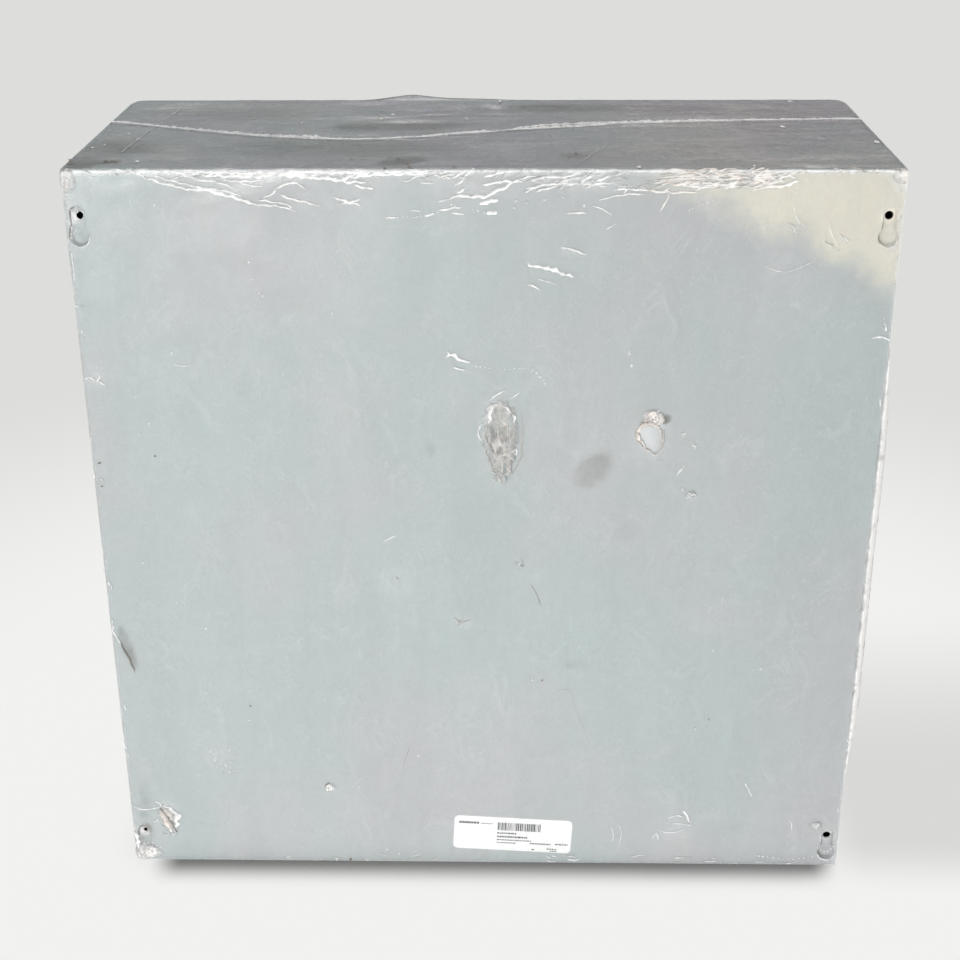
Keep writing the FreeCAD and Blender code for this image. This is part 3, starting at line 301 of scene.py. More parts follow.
# flecks of torn film and grit: across, down, breadth, and whether it is dark
FLECKS = (
    (66.9, 25.9, 1.3, 0), (255.6, 19.6, 1.4, 0), (330, 22.8, 1.6, 0), (337.5, 24, 1.5, 0),
    (328.8, 28, 1.2, 0), (350, 22, 1.3, 0), (340, 34.6, 1.2, 0), (364, 19.6, 1.6, 0),
    (378.8, 26.3, 1.4, 0), (133, 69, 1.5, 0), (135, 81.7, 1.4, 0), (139, 93, 1.8, 0),
    (141.7, 95, 1.2, 0), (193, 108, 1.2, 0), (70, 140, 1.3, 0), (48, 198, 1.3, 0),
    (40, 207, 1.2, 0), (50, 225, 1.6, 1), (6, 231, 1.5, 1), (6, 245, 1.2, 0), (6, 251, 1.2, 1),
    (415, 139, 2.6, 0), (417.5, 149, 2.0, 0), (459, 205, 2.4, 0), (467.5, 215, 3.2, 0),
    (441.7, 227.5, 1.8, 0), (466.7, 256.7, 4.2, 0), (460, 252, 2.0, 0), (458, 235, 2.2, 0),
    (198, 532, 1.4, 0), (186, 555, 1.3, 0), (32, 318, 1.5, 0), (78, 378, 1.3, 0),
    (56, 354, 1.2, 0), (110, 452, 1.3, 1), (108, 466, 1.3, 0), (173, 446, 1.4, 0),
    (249, 500, 1.4, 0), (173, 533, 5.2, 0), (171, 530, 2.4, 1), (345, 424, 2.2, 0),
    (353, 425.6, 1.4, 1), (410, 549, 1.4, 0), (492, 396, 1.3, 0), (532, 413, 1.3, 0),
    (492, 462, 1.2, 1), (481, 471, 1.3, 0), (481, 568, 2.0, 0), (334, 318, 2.0, 0),
    (134, 606, 2.4, 0), (176, 607.5, 2.6, 0), (188, 608, 2.0, 1), (202, 608, 2.4, 0),
    (220, 597, 1.8, 0), (230, 601, 1.6, 0), (3.3, 123, 1.6, 0), (236, 331, 1.2, 1),
)
# crumples drawn up out of the film: across, down, width, depth, height, grain, white, tan, tilt,
# how much narrower the foot is, and how far its folds run upright
CRUMPLES = {
    "film_crumple": (319, 213, 41, 74, 2.4, 7.5, 0.25, 0.42, -3, 0.34, 3.0),
    "film_bunch_tear": (436, 192, 18, 13, 1.9, 2.6, 0.95, 1.0, 8, 0.0, 1.0),
    "film_bunch_upper_left": (5, 8, 13, 20, 1.8, 3.6, 0.6, 0.25, 0, 0.0, 1.4),
    "film_bunch_upper_right": (605.5, 4.5, 12, 12, 1.8, 3.2, 0.8, 0.6, 0, 0.0, 1.0),
    "film_bunch_low_left": (31.5, 567, 15, 32, 1.5, 4.0, 0.4, 0.6, -18, 0.0, 1.4),
    "film_bunch_lower_left": (10, 602, 26, 15, 2.0, 4.2, 1.1, 0.5, 0, 0.0, 1.0),
    "film_bunch_lower_edge": (3, 589, 7, 20, 1.8, 4.6, 0.9, 0.1, -4, 0.0, 1.4),
    "film_bunch_flake": (173, 533, 9, 9, 1.8, 3.2, 0.9, 0.3, 0, 0.0, 1.0),
    "film_bunch_bubble": (589, 569, 10, 9, 1.8, 3.6, 0.7, 0.1, 0, 0.0, 1.0),
    "film_bunch_scrap": (466.5, 256.5, 10, 6, 2.0, 2.0, 0.45, 0.1, -28, 0.0, 1.0),
}
CRUMPLE_CELL = 0.7         # spacing of their vertices
TEAR = ((424.3, 202), (426.6, 198), (432.5, 196.2), (438, 198.8), (441.7, 205), (442.2, 212),
        (440.3, 220), (437.6, 222), (434, 218.6), (428.4, 212), (424.6, 207))
TEAR_AT = (433.6, 207.6)   # a point inside the torn hole
TEAR_RIM = 0.85            # radius of the rolled rim
# openings over the screw holes: radius, how much more it is up and down, and how far across and
# down its middle stands from the hole's
WINDOW = 6.0                       # both on the -X side, right over the holes
SLIT = (2.3, 0.9, (1.9, -0.9))     # upper one on the +X side
PRICK = (1.7, 0.6, (1.1, -3.2))    # lower one on the +X side

# ------------------------------------------------------------------ the top
SEAM = (
    (304.6, -33), (301.8, -31.9), (276.7, -22.7), (238.4, -6.1), (203.9, 9), (176.1, 18.8),
    (149.1, 24.9), (133, 28.6), (109.3, 32.2), (91.2, 32.3), (70.7, 28.7), (45.1, 21.6),
    (19.4, 10.8), (-12, 2), (-30.5, -9), (-49.2, -17), (-70.8, -22.6), (-89.7, -26.4),
    (-111.1, -27), (-143.6, -30), (-168.2, -33), (-211.7, -36.5), (-252.7, -40), (-304.6, -41),
)
SEAM_TWIN = ((-18, -1), (-36, -6), (-60, -13), (-84, -19), (-108, -27))
# loose film by the hood's front edge: X, Y, half width, half depth, height
PUCKERS = ((66, -124, 24, 16, 4.2), (20, -120, 30, 14, 1.6))
TOP_HAZES = (
    (103, -108, 22, 12, 0, 0.16), (85, -50, 18, 5, 10, 0.2), (62, -36, 20, 6, 0, 0.26),
    (56, -82, 13, 8, 0, 0.16), (42, -62, 13, 5, 0, 0.24), (27, -86, 9, 8, 0, 0.16),
    (-5, -94, 7, 10, 20, 0.3), (-8, -64, 9, 5, 0, 0.2), (-257, 28, 9, 4, -20, 0.2),
    (258, -100, 30, 14, 20, 0.08), (-120, -20, 20, 6, 6, 0.14), (-250, 95, 30, 8, 6, 0.07),
    (60, 20, 90, 4, -4, 0.08), (-237, 120, 16, 4, 0, 0.22),
)
# darker patches on the top: grime, and a painted shade that darkens the top: X, Y, half width, half
# height, tilt, share of grey
TOP_GRIME_AND_SHADE = (
    (120, 60, 110, 40, 0, 0.10), (-150, 60, 100, 40, 0, 0.07), (70, -20, 60, 20, 4, 0.16),
    (-100, -90, 130, 22, 0, 0.13), (200, -70, 90, 30, 0, 0.07), (276, 106, 9, 5, 10, 0.3),
    (296, 112, 14, 14, 0, 0.26), (60, 105, 20, 10, 30, 0.16), (-230, -80, 60, 16, 0, 0.12),
    (280, 60, 40, 40, 0, 0.08), (-196, 50, 60, 12, 4, 0.07), (-70, 86, 14, 10, 0, 0.1),
)
TOP_FLECKS = (
    (280, 10, 2.2, 0), (-236, -15, 3.4, 0), (-299, 42, 4.4, 0), (-258, -116, 3.0, 0),
    (-113, 122, 3.0, 0), (-196, 119, 2.2, 0), (85, -46, 3.4, 0), (77, -64, 2.6, 0),
    (-11, -116, 2.6, 0), (16, -46, 1.8, 0), (62, 95, 2.0, 1), (69, 90, 1.8, 1), (54, 114, 2.2, 1),
    (70, 124, 2.4, 1), (52, 123, 2.2, 1), (20, 122, 2.4, 1), (-69, 79, 2.0, 1), (-63, 92, 1.8, 1),
    (97, 95, 1.8, 1), (276, 104, 3.4, 1), (270, 103, 2.6, 1), (253, 104, 3.0, 0),
    (297, 59, 2.0, 0), (290, 50, 1.8, 0), (301, 110, 3.0, 1), (304, 100, 2.4, 1),
)
TOP_CREASES = (
    (1.6, 0.5, ((262, -43), (259, -70), (256, -104))),
    (1.2, 0.4, ((262, -38), (268, 24), (272, 80))),
    (1.5, 0.5, ((-66, 120), (-77, 92), (-87, 66), (-97, 40))),
    (1.6, 0.7, ((92, -74), (85, -58), (76, -50))),
    (1.6, 0.7, ((2, -88), (-4, -94), (-12, -118))),
    (1.2, 0.4, ((-250, 20), (-257, 28), (-268, 33))),
    (1.3, 0.4, ((-226, 121), (-238, 119), (-248, 122))),
    (1.0, 0.3, ((120, 29), (60, 33), (0, 20))),
)


# ================================================================== materials
class Recipe:
    """One material's node tree, written as short calls that hand back sockets."""

    def __init__(self, name):
        self.material = bpy.data.materials.new(name)
        self.material.use_nodes = True
        self.tree = self.material.node_tree
        self.tree.nodes.clear()
        self.place = self.node("TexCoord").outputs["Object"]

    def node(self, kind, settings=None, **sockets):
        """A node, with its own settings and what goes into its sockets, by their names."""
        made = self.tree.nodes.new("ShaderNode" + kind)
        for name, value in (settings or {}).items():
            setattr(made, name, value)
        for name, value in sockets.items():
            self.feed(made.inputs[name.replace("_", " ")], value)
        return made

    def joined(self, kind, settings, *values, start=0):
        """The same for a node whose sockets share a name: they are fed in a row."""
        made = self.node(kind, settings)
        for number, value in enumerate(values, start):
            self.feed(made.inputs[number], value)
        return made

    def feed(self, socket, value):
        if isinstance(value, bpy.types.NodeSocket):
            self.tree.links.new(value, socket)
        else:
            socket.default_value = value

    def stretched(self, x, y, z):
        return self.node("Mapping", Vector=self.place, Scale=(x, y, z)).outputs["Vector"]

    def cloud(self, scale, detail=3.0, rough=0.5, across=None, twist=0.0):
        made = self.node("TexNoise", Vector=across or self.place, Scale=scale, Detail=detail,
                         Roughness=rough, Distortion=twist)
        return made.outputs[0]

    def cells(self, scale, feature="F1"):
        return self.node("TexVoronoi", {"feature": feature}, Vector=self.place, Scale=scale)

    def band(self, value, low, high, to_low=0.0, to_high=1.0):
        made = self.node("MapRange", {"interpolation_type": "SMOOTHSTEP"}, Value=value,
                         From_Min=low, From_Max=high, To_Min=to_low, To_Max=to_high)
        return made.outputs[0]

    def sheen(self, scale, low, high, detail=3.0, rough=0.5):
        """Roughness that drifts slowly between two values."""
        return self.band(self.cloud(scale, detail, rough), 0.3, 0.7, low, high)

    def times(self, first, second):
        return self.maths("MULTIPLY", first, second)

    def plus(self, first, second):
        return self.maths("ADD", first, second)

    def maths(self, operation, first, second):
        return self.joined("Math", {"operation": operation}, first, second).outputs[0]

    def tint(self, factor, first, second):
        made = self.joined("Mix", {"data_type": "RGBA"}, first, second, start=6)
        self.feed(made.inputs[0], factor)
        return made.outputs[2]

    def layered(self, factor, under, over):
        return self.joined("MixShader", {}, factor, under, over).outputs[0]

    def bump(self, height, distance, strength, under=None):
        made = self.node("Bump", Height=height, Distance=distance, Strength=strength)
        if under is not None:
            self.feed(made.inputs["Normal"], under)
        return made.outputs[0]

    def eased_edges(self, radius):
        """Normals that round every sharp edge, and how much of an edge each point is on."""
        eased = self.node("Bevel", {"samples": 4}, Radius=radius).outputs[0]
        flat = self.node("NewGeometry").outputs["Normal"]
        alike = self.joined("VectorMath", {"operation": "DOT_PRODUCT"}, eased, flat)
        return eased, self.band(alike.outputs["Value"], 0.995, 0.86)

    def nooks(self, reach, samples, only_local=False):
        """Nearly 1 in the open, less where something stands within reach."""
        made = self.node("AmbientOcclusion", {"samples": samples, "only_local": only_local},
                         Distance=reach)
        return made.outputs["AO"]

    def axes(self):
        return self.node("SeparateXYZ", Vector=self.place).outputs

    def marks(self):
        """The film's white, grime and tan, as its mesh holds them; in places the white is a painted
        highlight and the grime a painted shade.
        """
        held = self.node("Attribute", {"attribute_name": "marks"}).outputs["Color"]
        parts = self.node("SeparateColor", Color=held).outputs
        return parts[0], parts[1], parts[2]

    def finish(self, surface):
        self.node("OutputMaterial", Surface=surface)
        return self.material

    def solid(self, colour, roughness, normal, metallic=0.0, specular=0.5):
        made = self.node("BsdfPrincipled", Base_Color=colour, Roughness=roughness, Normal=normal,
                         Metallic=metallic, Specular_IOR_Level=specular)
        return self.finish(made.outputs[0])


def grey(value):
    return (value, value, value, 1)


def powder_coat(name, colour, edge_wear_and_highlight, painted_warm_corner=False):
    """Satin powder coat: orange peel, slow colour drift, rubbed streaks, dust, painted shade in the
    corners and nooks, and rubbed edges, whose lightening is partly a painted highlight. The back's
    paint has a painted pool of warm light at its upper corner on the -X side."""
    r = Recipe(name)
    drift = r.cloud(5.5, 4, 0.55)
    runs = r.cloud(9, 4, 0.6, r.stretched(2.6, 2.6, 0.5), 0.6)
    dust = r.band(r.cloud(38, 5, 0.7), 0.45, 0.75)
    rubs = r.band(r.cloud(60, 3, 0.75, r.stretched(0.35, 1, 3.2)), 0.63, 0.74)
    pits = r.band(r.cells(240).outputs["Distance"], 0.055, 0.02)
    cool = (colour[0] * 0.95, colour[1], colour[2] * 0.995, 1)
    warm = (colour[0] * 1.03, colour[1] * 0.985, colour[2] * 0.995, 1)
    base = r.tint(r.band(drift, 0.36, 0.64), cool, warm)
    # a painted pool of warm light over the back's upper corner on the -X side, fading away from it
    if painted_warm_corner:
        x, y, z = r.axes()
        sideways = r.maths("DIVIDE", r.plus(x, -WRAP_LOW.x), WARM_LIGHT_REACH[0])
        downward = r.maths("DIVIDE", r.maths("SUBTRACT", HEIGHT, z), WARM_LIGHT_REACH[1])
        far = r.plus(r.maths("ABSOLUTE", sideways, 0.0), downward)
        far = r.plus(far, r.sheen(16, -0.13, 0.13, 4, 0.6))
        warm_light = r.times(r.band(far, 1.2, 0.78), r.band(y, 0.0, 0.09))
        base = r.tint(warm_light, base, (0.82, 0.79, 0.70, 1))
    base = r.tint(r.band(runs, 0.4, 0.66, 0, 0.12), base, (0.42, 0.44, 0.45, 1))
    base = r.tint(r.band(r.cloud(210, 5, 0.75), 0.36, 0.66, 0, 0.10), base, (0.40, 0.41, 0.41, 1))
    base = r.tint(r.times(dust, 0.09), base, (0.62, 0.60, 0.56, 1))
    base = r.tint(r.times(rubs, 0.22), base, (0.68, 0.69, 0.69, 1))
    base = r.tint(r.times(pits, 0.25), base, (0.22, 0.21, 0.20, 1))
    eased, edge = r.eased_edges(0.0011)
    # rubbed edges are lightened, and the same lightening stands as a painted highlight along every
    # edge
    edge_patches = r.band(r.cloud(170, 4, 0.7), 0.46, 0.56)
    edge = r.times(edge, edge_patches)
    base = r.tint(r.times(edge, edge_wear_and_highlight), base, (0.76, 0.77, 0.77, 1))
    # painted shade: darker within a few millimetres of another face, in corners and recesses
    darkening = r.band(r.nooks(0.0045, 4, True), 0.92, 0.5, 0, 0.22 if painted_warm_corner else 0.62)
    base = r.tint(darkening, base, (0.13, 0.125, 0.12, 1))
    peel = r.bump(r.cloud(620, 2, 0.45), 0.00012, 0.55, eased)
    scratch = r.bump(rubs, 0.00006, 0.4, peel)
    gloss = r.plus(r.sheen(24, 0.34, 0.52, 4, 0.6), r.times(dust, 0.14))
    return r.solid(base, gloss, scratch, specular=0.42)


def galvanised():
    """Hot-dipped zinc: spangles of differing grey, each with its own shine."""
    r = Recipe("galvanised_steel_look")
    spangle = r.cells(150)
    tone = r.node("SeparateColor", Color=spangle.outputs["Color"]).outputs[0]
    base = r.tint(tone, (0.50, 0.52, 0.54, 1), (0.70, 0.72, 0.74, 1))
    white_rust = r.band(r.cloud(44, 5, 0.7), 0.58, 0.74, 0, 0.5)
    base = r.tint(white_rust, base, (0.74, 0.75, 0.75, 1))
    rim = r.band(r.cells(150, "DISTANCE_TO_EDGE").outputs["Distance"], 0.0, 0.05)
    shine = r.band(tone, 0, 1, 0.28, 0.5)
    eased, _ = r.eased_edges(0.0006)
    normal = r.bump(rim, 0.00003, 0.4, r.bump(r.cloud(500, 2), 0.00005, 0.4, eased))
    return r.solid(base, shine, normal, metallic=0.85)


def zinc_plate():
    """Bright zinc on turned and stamped hardware: lathe lines, a faint straw and blue tint."""
    r = Recipe("zinc_steel_look")
    hue = r.band(r.cloud(70, 3, 0.6), 0.35, 0.65)
    base = r.tint(hue, (0.66, 0.67, 0.70, 1), (0.71, 0.70, 0.63, 1))
    tan_share = r.band(r.cloud(180, 4, 0.7), 0.6, 0.72, 0, 0.35)
    base = r.tint(tan_share, base, (0.42, 0.41, 0.39, 1))
    eased, edge = r.eased_edges(0.0004)
    base = r.tint(r.times(edge, 0.4), base, grey(0.86))
    lines = r.cloud(900, 2, 0.5, r.stretched(1, 6, 1))
    normal = r.bump(lines, 0.00004, 0.5, eased)
    return r.solid(base, r.sheen(120, 0.2, 0.38), normal, metallic=0.95)


def tinned_aluminium():
    """A sawn and tumbled lug: dull, dented, with saw marks."""
    r = Recipe("lug_aluminium_look")
    mottle = r.band(r.cloud(60, 4, 0.6), 0.35, 0.7)
    base = r.tint(mottle, (0.66, 0.67, 0.68, 1), (0.52, 0.53, 0.54, 1))
    eased, edge = r.eased_edges(0.0007)
    base = r.tint(r.times(edge, 0.5), base, grey(0.84))
    dents = r.bump(r.cloud(230, 3, 0.6), 0.00016, 0.5, eased)
    saw = r.bump(r.cloud(700, 2, 0.5, r.stretched(6, 1, 0.4)), 0.00005, 0.5, dents)
    return r.solid(base, r.sheen(90, 0.36, 0.56), saw, metallic=0.9)


def label_paper():
    """Coated white label stock: fibres, faint yellowing, a lightly rubbed face."""
    r = Recipe("label_paper_look")
    aged = r.band(r.cloud(30, 4, 0.6), 0.35, 0.7)
    base = r.tint(aged, (0.99, 0.99, 0.985, 1), (0.955, 0.95, 0.94, 1))
    fibre = r.cloud(1300, 3, 0.7, r.stretched(1, 1, 2.4))
    base = r.tint(r.band(fibre, 0.4, 0.7, 0, 0.06), base, grey(0.6))
    rub = r.band(r.cloud(110, 4, 0.7, r.stretched(0.4, 1, 2)), 0.6, 0.72, 0, 0.14)
    base = r.tint(rub, base, grey(0.62))
    return r.solid(base, r.sheen(90, 0.42, 0.6), r.bump(fibre, 0.00004, 0.4))


def label_ink():
    """Thermal print that has gone patchy."""
    r = Recipe("label_ink_look")
    patchy = r.band(r.cloud(900, 3, 0.7), 0.42, 0.66, 0, 0.42)
    base = r.tint(patchy, (0.035, 0.035, 0.04, 1), (0.40, 0.40, 0.41, 1))
    speckle = r.bump(r.cloud(1100, 2), 0.00003, 0.4)
    return r.solid(base, r.sheen(300, 0.4, 0.6, 2), speckle)


def shrink_film(name, veil, white=(0.88, 0.89, 0.89, 1), grain=0.2, streaked=False):
    """Clear film: it mirrors like plastic, and turns milky, grimy or tan where its mesh says so.
    Some of its milky marks are painted highlights, and some of its grimy ones painted shade.
    """
    r = Recipe(name)
    milky_and_highlight, grime_and_shade, tan = r.marks()
    wrinkle = r.cloud(46, 4, 0.6, r.stretched(1, 1, 0.6), 0.4)
    fine = r.cloud(420, 4, 0.65)
    pulled = r.bump(wrinkle, 0.0012, r.band(milky_and_highlight, 0.6, 1.2, 0.32, 0.05))
    normal = r.bump(fine, 0.00016, r.band(milky_and_highlight, 0.6, 1.2, 0.5, 0.08), pulled)
    clear = r.node("BsdfTransparent", Color=(0.955, 0.96, 0.96, 1)).outputs[0]
    shine = r.sheen(30, 0.16, 0.34, 3, 0.6)
    gloss = r.node("BsdfGlossy", Roughness=shine, Normal=normal).outputs[0]
    mirror = r.node("Fresnel", IOR=1.46, Normal=normal).outputs[0]
    skin = r.layered(mirror, clear, gloss)
    speck = r.band(r.cloud(300, 5, 0.75), 0.54, 0.70, 0, grain)
    scuff = r.band(r.cloud(34, 5, 0.7, r.stretched(1.2, 1, 0.7), 1.0), 0.5, 0.72, 0, grain * 0.5)
    body = r.tint(r.band(r.cloud(130, 4, 0.7), 0.35, 0.65, 0, 0.3), white, grey(0.66))
    if streaked:        # dragged over by other crates: streaks along X, tan and lilac dust
        drag = r.cloud(15, 6, 0.72, r.stretched(0.45, 2.6, 1), 1.2)
        scuff = r.plus(scuff, r.band(drag, 0.46, 0.7, 0, 0.26))
        body = r.tint(r.band(r.cloud(6, 3, 0.6), 0.42, 0.62), body, (0.60, 0.58, 0.68, 1))
        body = r.tint(r.band(r.cloud(210, 5, 0.75), 0.5, 0.64, 0, 0.6), body, (0.58, 0.50, 0.45, 1))
    whole = r.plus(r.plus(milky_and_highlight, tan), 0.02)
    body = r.tint(r.maths("DIVIDE", tan, whole), body, (0.66, 0.54, 0.45, 1))
    # grime, and painted shade where the marks carry it, turn the film's body dark
    grime_and_shade_part = r.band(r.maths("DIVIDE", grime_and_shade, r.plus(milky_and_highlight, 0.05)), 0.3, 2.4)
    body = r.tint(grime_and_shade_part, body, (0.23, 0.215, 0.20, 1))
    uneven = r.band(r.cloud(90, 4, 0.7), 0.3, 0.68, 0.55, 1.3)
    cover = r.plus(r.plus(milky_and_highlight, tan), grime_and_shade)
    cover = r.times(cover, uneven)
    cover = r.plus(cover, r.plus(r.times(speck, 0.5), scuff))
    cover = r.maths("MINIMUM", r.plus(cover, veil), 0.96)
    solid = r.node("BsdfPrincipled", Base_Color=body, Roughness=0.36, Normal=normal).outputs[0]
    return r.finish(r.layered(cover, skin, solid))


def flake(name, dark):
    """A chip of torn film, or a grain of packing grit."""
    r = Recipe(name)
    pale, deep = (0.90, 0.90, 0.89, 1), (0.66, 0.63, 0.58, 1)
    if dark:
        pale, deep = (0.30, 0.25, 0.20, 1), (0.10, 0.085, 0.07, 1)
    base = r.tint(r.band(r.cloud(500, 4, 0.7), 0.4, 0.66), pale, deep)
    return r.solid(base, r.sheen(400, 0.3, 0.6), r.bump(r.cloud(700, 3), 0.0003, 0.6))


PAINT = (0.565, 0.60, 0.60)
WARM_LIGHT_REACH = (0.19, 0.088)   # how far the painted warm light in the corner reaches sideways and down
FINISHES = {
    "back_paint": (powder_coat("back_paint_look", PAINT, 0.4, painted_warm_corner=True), ("wrapper",)),
    "cabinet_paint": (powder_coat("cabinet_paint_look", PAINT, 0.4), (
        "top_cap", "bottom_cap", "front_header", "cabinet_lock_ear")),
    "cover_paint": (powder_coat("cover_paint_look", PAINT, 0.55), (
        "cover_pan", "cover_lock_ear")),
    "hinge_paint": (powder_coat("hinge_paint_look", (0.50, 0.535, 0.545), 0.6), (
        "hinge_fixed_leaf", "hinge_moving_leaf", "hinge_pin")),
    "galvanised_steel": (galvanised(), (
        "cover_stiffener", "instrument_rail_lower", "instrument_rail_upper")),
    "zinc_steel": (zinc_plate(), (
        "clinch_nuts", "rail_studs", "rail_washers", "rail_nuts", "ground_stud", "ground_washer",
        "ground_nut", "captive_screw_upper", "captive_screw_lower", "retaining_washer_upper",
        "retaining_washer_lower", "lug_clamp_screw")),
    "lug_aluminium": (tinned_aluminium(), ("ground_lug",)),
    "label_paper": (label_paper(), ("stock_label",)),
}
FILM_BACK = shrink_film("film_look", 0.025)
FILM_TOP = shrink_film("film_top_look", 0.05, (0.90, 0.89, 0.88, 1), 0.42, streaked=True)
FILM_FOLD = shrink_film("film_fold_look", 0.3, (0.99, 0.99, 0.98, 1), 0.3)
INK = label_ink()
CHIP_PALE, CHIP_DARK = flake("film_chip_look", False), flake("grit_look", True)


def dress_cad_nodes():
    for material, names in FINISHES.values():
        for name in names:
            for slot in frame["nodes"][name].material_slots:
                slot.material = material


# ================================================================== meshes
def piece(name, verts, faces, material, smooth=True, marks=None, body="cabinet"):
    mesh = bpy.data.meshes.new(name)
    mesh.from_pydata([tuple(v) for v in verts], [], faces)
    mesh.materials.append(material)
    mesh.polygons.foreach_set("use_smooth", [smooth] * len(mesh.polygons))
    if marks is not None:
        held = mesh.color_attributes.new("marks", "FLOAT_COLOR", "POINT")
        flat = [part for mark in marks for part in (*mark, 1.0)]
        held.data.foreach_set("color", flat)
    mesh.validate()
    mesh.update()
    made = bpy.data.objects.new(name, mesh)
    bpy.context.scene.collection.objects.link(made)
    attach(made, body)
    return made


def film_piece(name, verts, faces, material, marks, turned=True):
    """A piece of film, with its faces turned over where they are wound from the inside."""
    if turned:
        faces = [face[::-1] for face in faces]
    return piece(name, verts, faces, material, marks=marks)


def grid_faces(columns, rows, keep=None):
    """Quads of a grid stored row by row, leaving out those with no corner that `keep` wants."""
    faces = []
    for row in range(rows - 1):
        for column in range(columns - 1):
            a = row * columns + column
            quad = (a, a + 1, a + 1 + columns, a + columns)
            if keep is None or any(keep[i] for i in quad):
                faces.append(quad)
    return faces


def tidy(verts, faces, marks):
    """Drops the vertices that no face uses."""
    used = sorted({i for face in faces for i in face})
    at = {old: new for new, old in enumerate(used)}
    return ([verts[i] for i in used], [tuple(at[i] for i in face) for face in faces],
            [marks[i] for i in used])


def waves(x, y, seed):
    """Smooth noise about 0, between -1 and 1."""
    return noise.noise((x, y, seed))


def hills(x, y, seed):
    """The same with its hollows filled up to 0."""
    return max(0.0, waves(x, y, seed))


def limit(value, low, high):
    return min(max(value, low), high)


def rotated(x, y, angle):
    c, s = math.cos(angle), math.sin(angle)
    return x * c - y * s, x * s + y * c


def blob(across, down, spots):
    """How strongly a list of soft ellipses covers a point, in the last number's own units."""
    total = 0.0
    for x, y, wide, tall, tilt, strength in spots:
        dx, dy = across - x, down - y
        if abs(dx) > 3 * (wide + tall) or abs(dy) > 3 * (wide + tall):
            continue
        dx, dy = rotated(dx, dy, -math.radians(tilt))
        far = (dx / wide) ** 2 + (dy / tall) ** 2
        total += strength * math.exp(-1.1 * far * far if far < 1 else -1.1 * far)
    return total


def ridges(x, y, seed):
    """Ridged noise between 0 and about 1, as crumpled sheet has."""
    total, size, share = 0.0, 1.0, 0.6
    for octave in range(3):
        total += share * (1 - abs(waves(x * size, y * size, seed + 7.3 * octave))) ** 3
        size, share = size * 2.1, share * 0.45
    return total


def walls(across):
    """Plan position and outward direction of the film, by the way across from the +X corner."""
    side = 1 if across < BACK_SPAN / 2 else -1
    past = UPRIGHT_BEND - (across if side > 0 else BACK_SPAN - across)
    angle = limit(past / UPRIGHT_BEND, 0, math.pi / 2)
    straight = max(past - TURN_LENGTH, 0)
    x = FILM_HIGH.x - UPRIGHT_BEND + UPRIGHT_BEND * math.sin(angle)
    if past < 0:
        x = FILM_HIGH.x - UPRIGHT_BEND + past
    y = FILM_HIGH.y - UPRIGHT_BEND + UPRIGHT_BEND * math.cos(angle) - straight
    return side * x, y, side * math.sin(angle), math.cos(angle)


def film_point(across, down, proud=0.0):
    """A point on the film, across from the +X corner of the back and down from the top. It follows
    the film round the upright corners and over the top edge."""
    x, y, out_x, out_y = walls(across)
    turn = limit((CREST_BEND - down) / CREST_BEND, 0, math.pi / 2)
    out = proud * math.cos(turn) - CREST_BEND * (1 - math.cos(turn))
    z = HEIGHT - down
    if turn > 0:
        z = HEIGHT - CREST_BEND + (CREST_BEND + proud) * math.sin(turn)
    return Vector((x + out_x * out, y + out_y * out, z))


def side_billow(across, down):
    """Below its shoulder the film tents off the corner on the -X side in one long upright fold."""
    past = across - BACK_SPAN + 0.001
    start, end = BILLOW
    if past < 0 or not start < down < end:
        return 0.0
    level = min((down - start) / BILLOW_RAMPS[0], (end - down) / BILLOW_RAMPS[1], 1.0)
    level *= 3 - 2 * level
    ripple = 1 + 0.10 * waves(down * 22, 1.7, 0)
    return BILLOW_OUT * level * ripple * past / BILLOW_AT * math.exp(1 - past / BILLOW_AT)


def slack(across, down):
    """How far the film stands off the paint."""
    a, d = across / MM, down / MM
    loose = 0.10 + 0.22 * hills(a / 95, d / 120, 3.1)
    loose += 0.10 * hills(a / 22, d / 34, 8.2)
    near_top = math.exp(-max(d, 0) / 16)
    loose += near_top * 0.8 * hills(a / 9, d / 22, 5.5)
    near_foot = math.exp(-max(HEIGHT / MM - d, 0) / 12)
    loose += near_foot * 0.6 * hills(a / 12, d / 20, 1.5)
    loose += blob(a, d, SWELLS) * (1 + 0.5 * waves(a / 6, d / 6, 2.2))
    return loose * MM + side_billow(across, down)


def film_marks(across, down):
    a, d = across / MM, down / MM
    white = blob(a, d, HAZES)
    if d < 6:       # a painted highlight just under the top edge, where the film bends over it
        white += (1.25 + 0.6 * waves(a / 7, 0, 3)) * math.exp(-((d - 1.3) / 0.95) ** 2)
    grime_and_shade = blob(a, d, SMUDGES_AND_SHADOWS) * (0.8 + 0.5 * waves(a / 8, d / 8, 6))
    corner = min(abs(a), abs(a - BACK_SPAN / MM))
    # a painted highlight along each upright corner
    white += 0.42 * math.exp(-(corner / 2.2) ** 2)
    past = a - BACK_SPAN / MM
    if past > 0:        # the loose fold has gone milky
        share = min(1.0, side_billow(across, down) / 0.0012)
        share *= math.exp(-(past / 17) ** 2)
        white = white * (1 - share) + 0.08 + 0.38 * share
        grime_and_shade += 0.55 * share
        return (white, max(grime_and_shade, 0.0), 0.1 * share)
    return (white, max(grime_and_shade, 0.0), 0.0)


def tear_radius(angle):
    """Reach of the torn hole's outline from its middle, in millimetres, by direction."""
    corners = sorted((math.atan2(y - TEAR_AT[1], x - TEAR_AT[0]), math.dist((x, y), TEAR_AT))
                     for x, y in TEAR)
    corners = [(corners[-1][0] - math.tau, corners[-1][1]), *corners,
               (corners[0][0] + math.tau, corners[0][1])]
    angle = (angle + math.pi) % math.tau - math.pi
    for (low, near), (high, far) in zip(corners, corners[1:]):
        if low <= angle <= high:
            share = (angle - low) / (high - low)
            share = share * share * (3 - 2 * share)
            return near + (far - near) * share + 0.25 * math.sin(11 * angle)
    return corners[0][1]


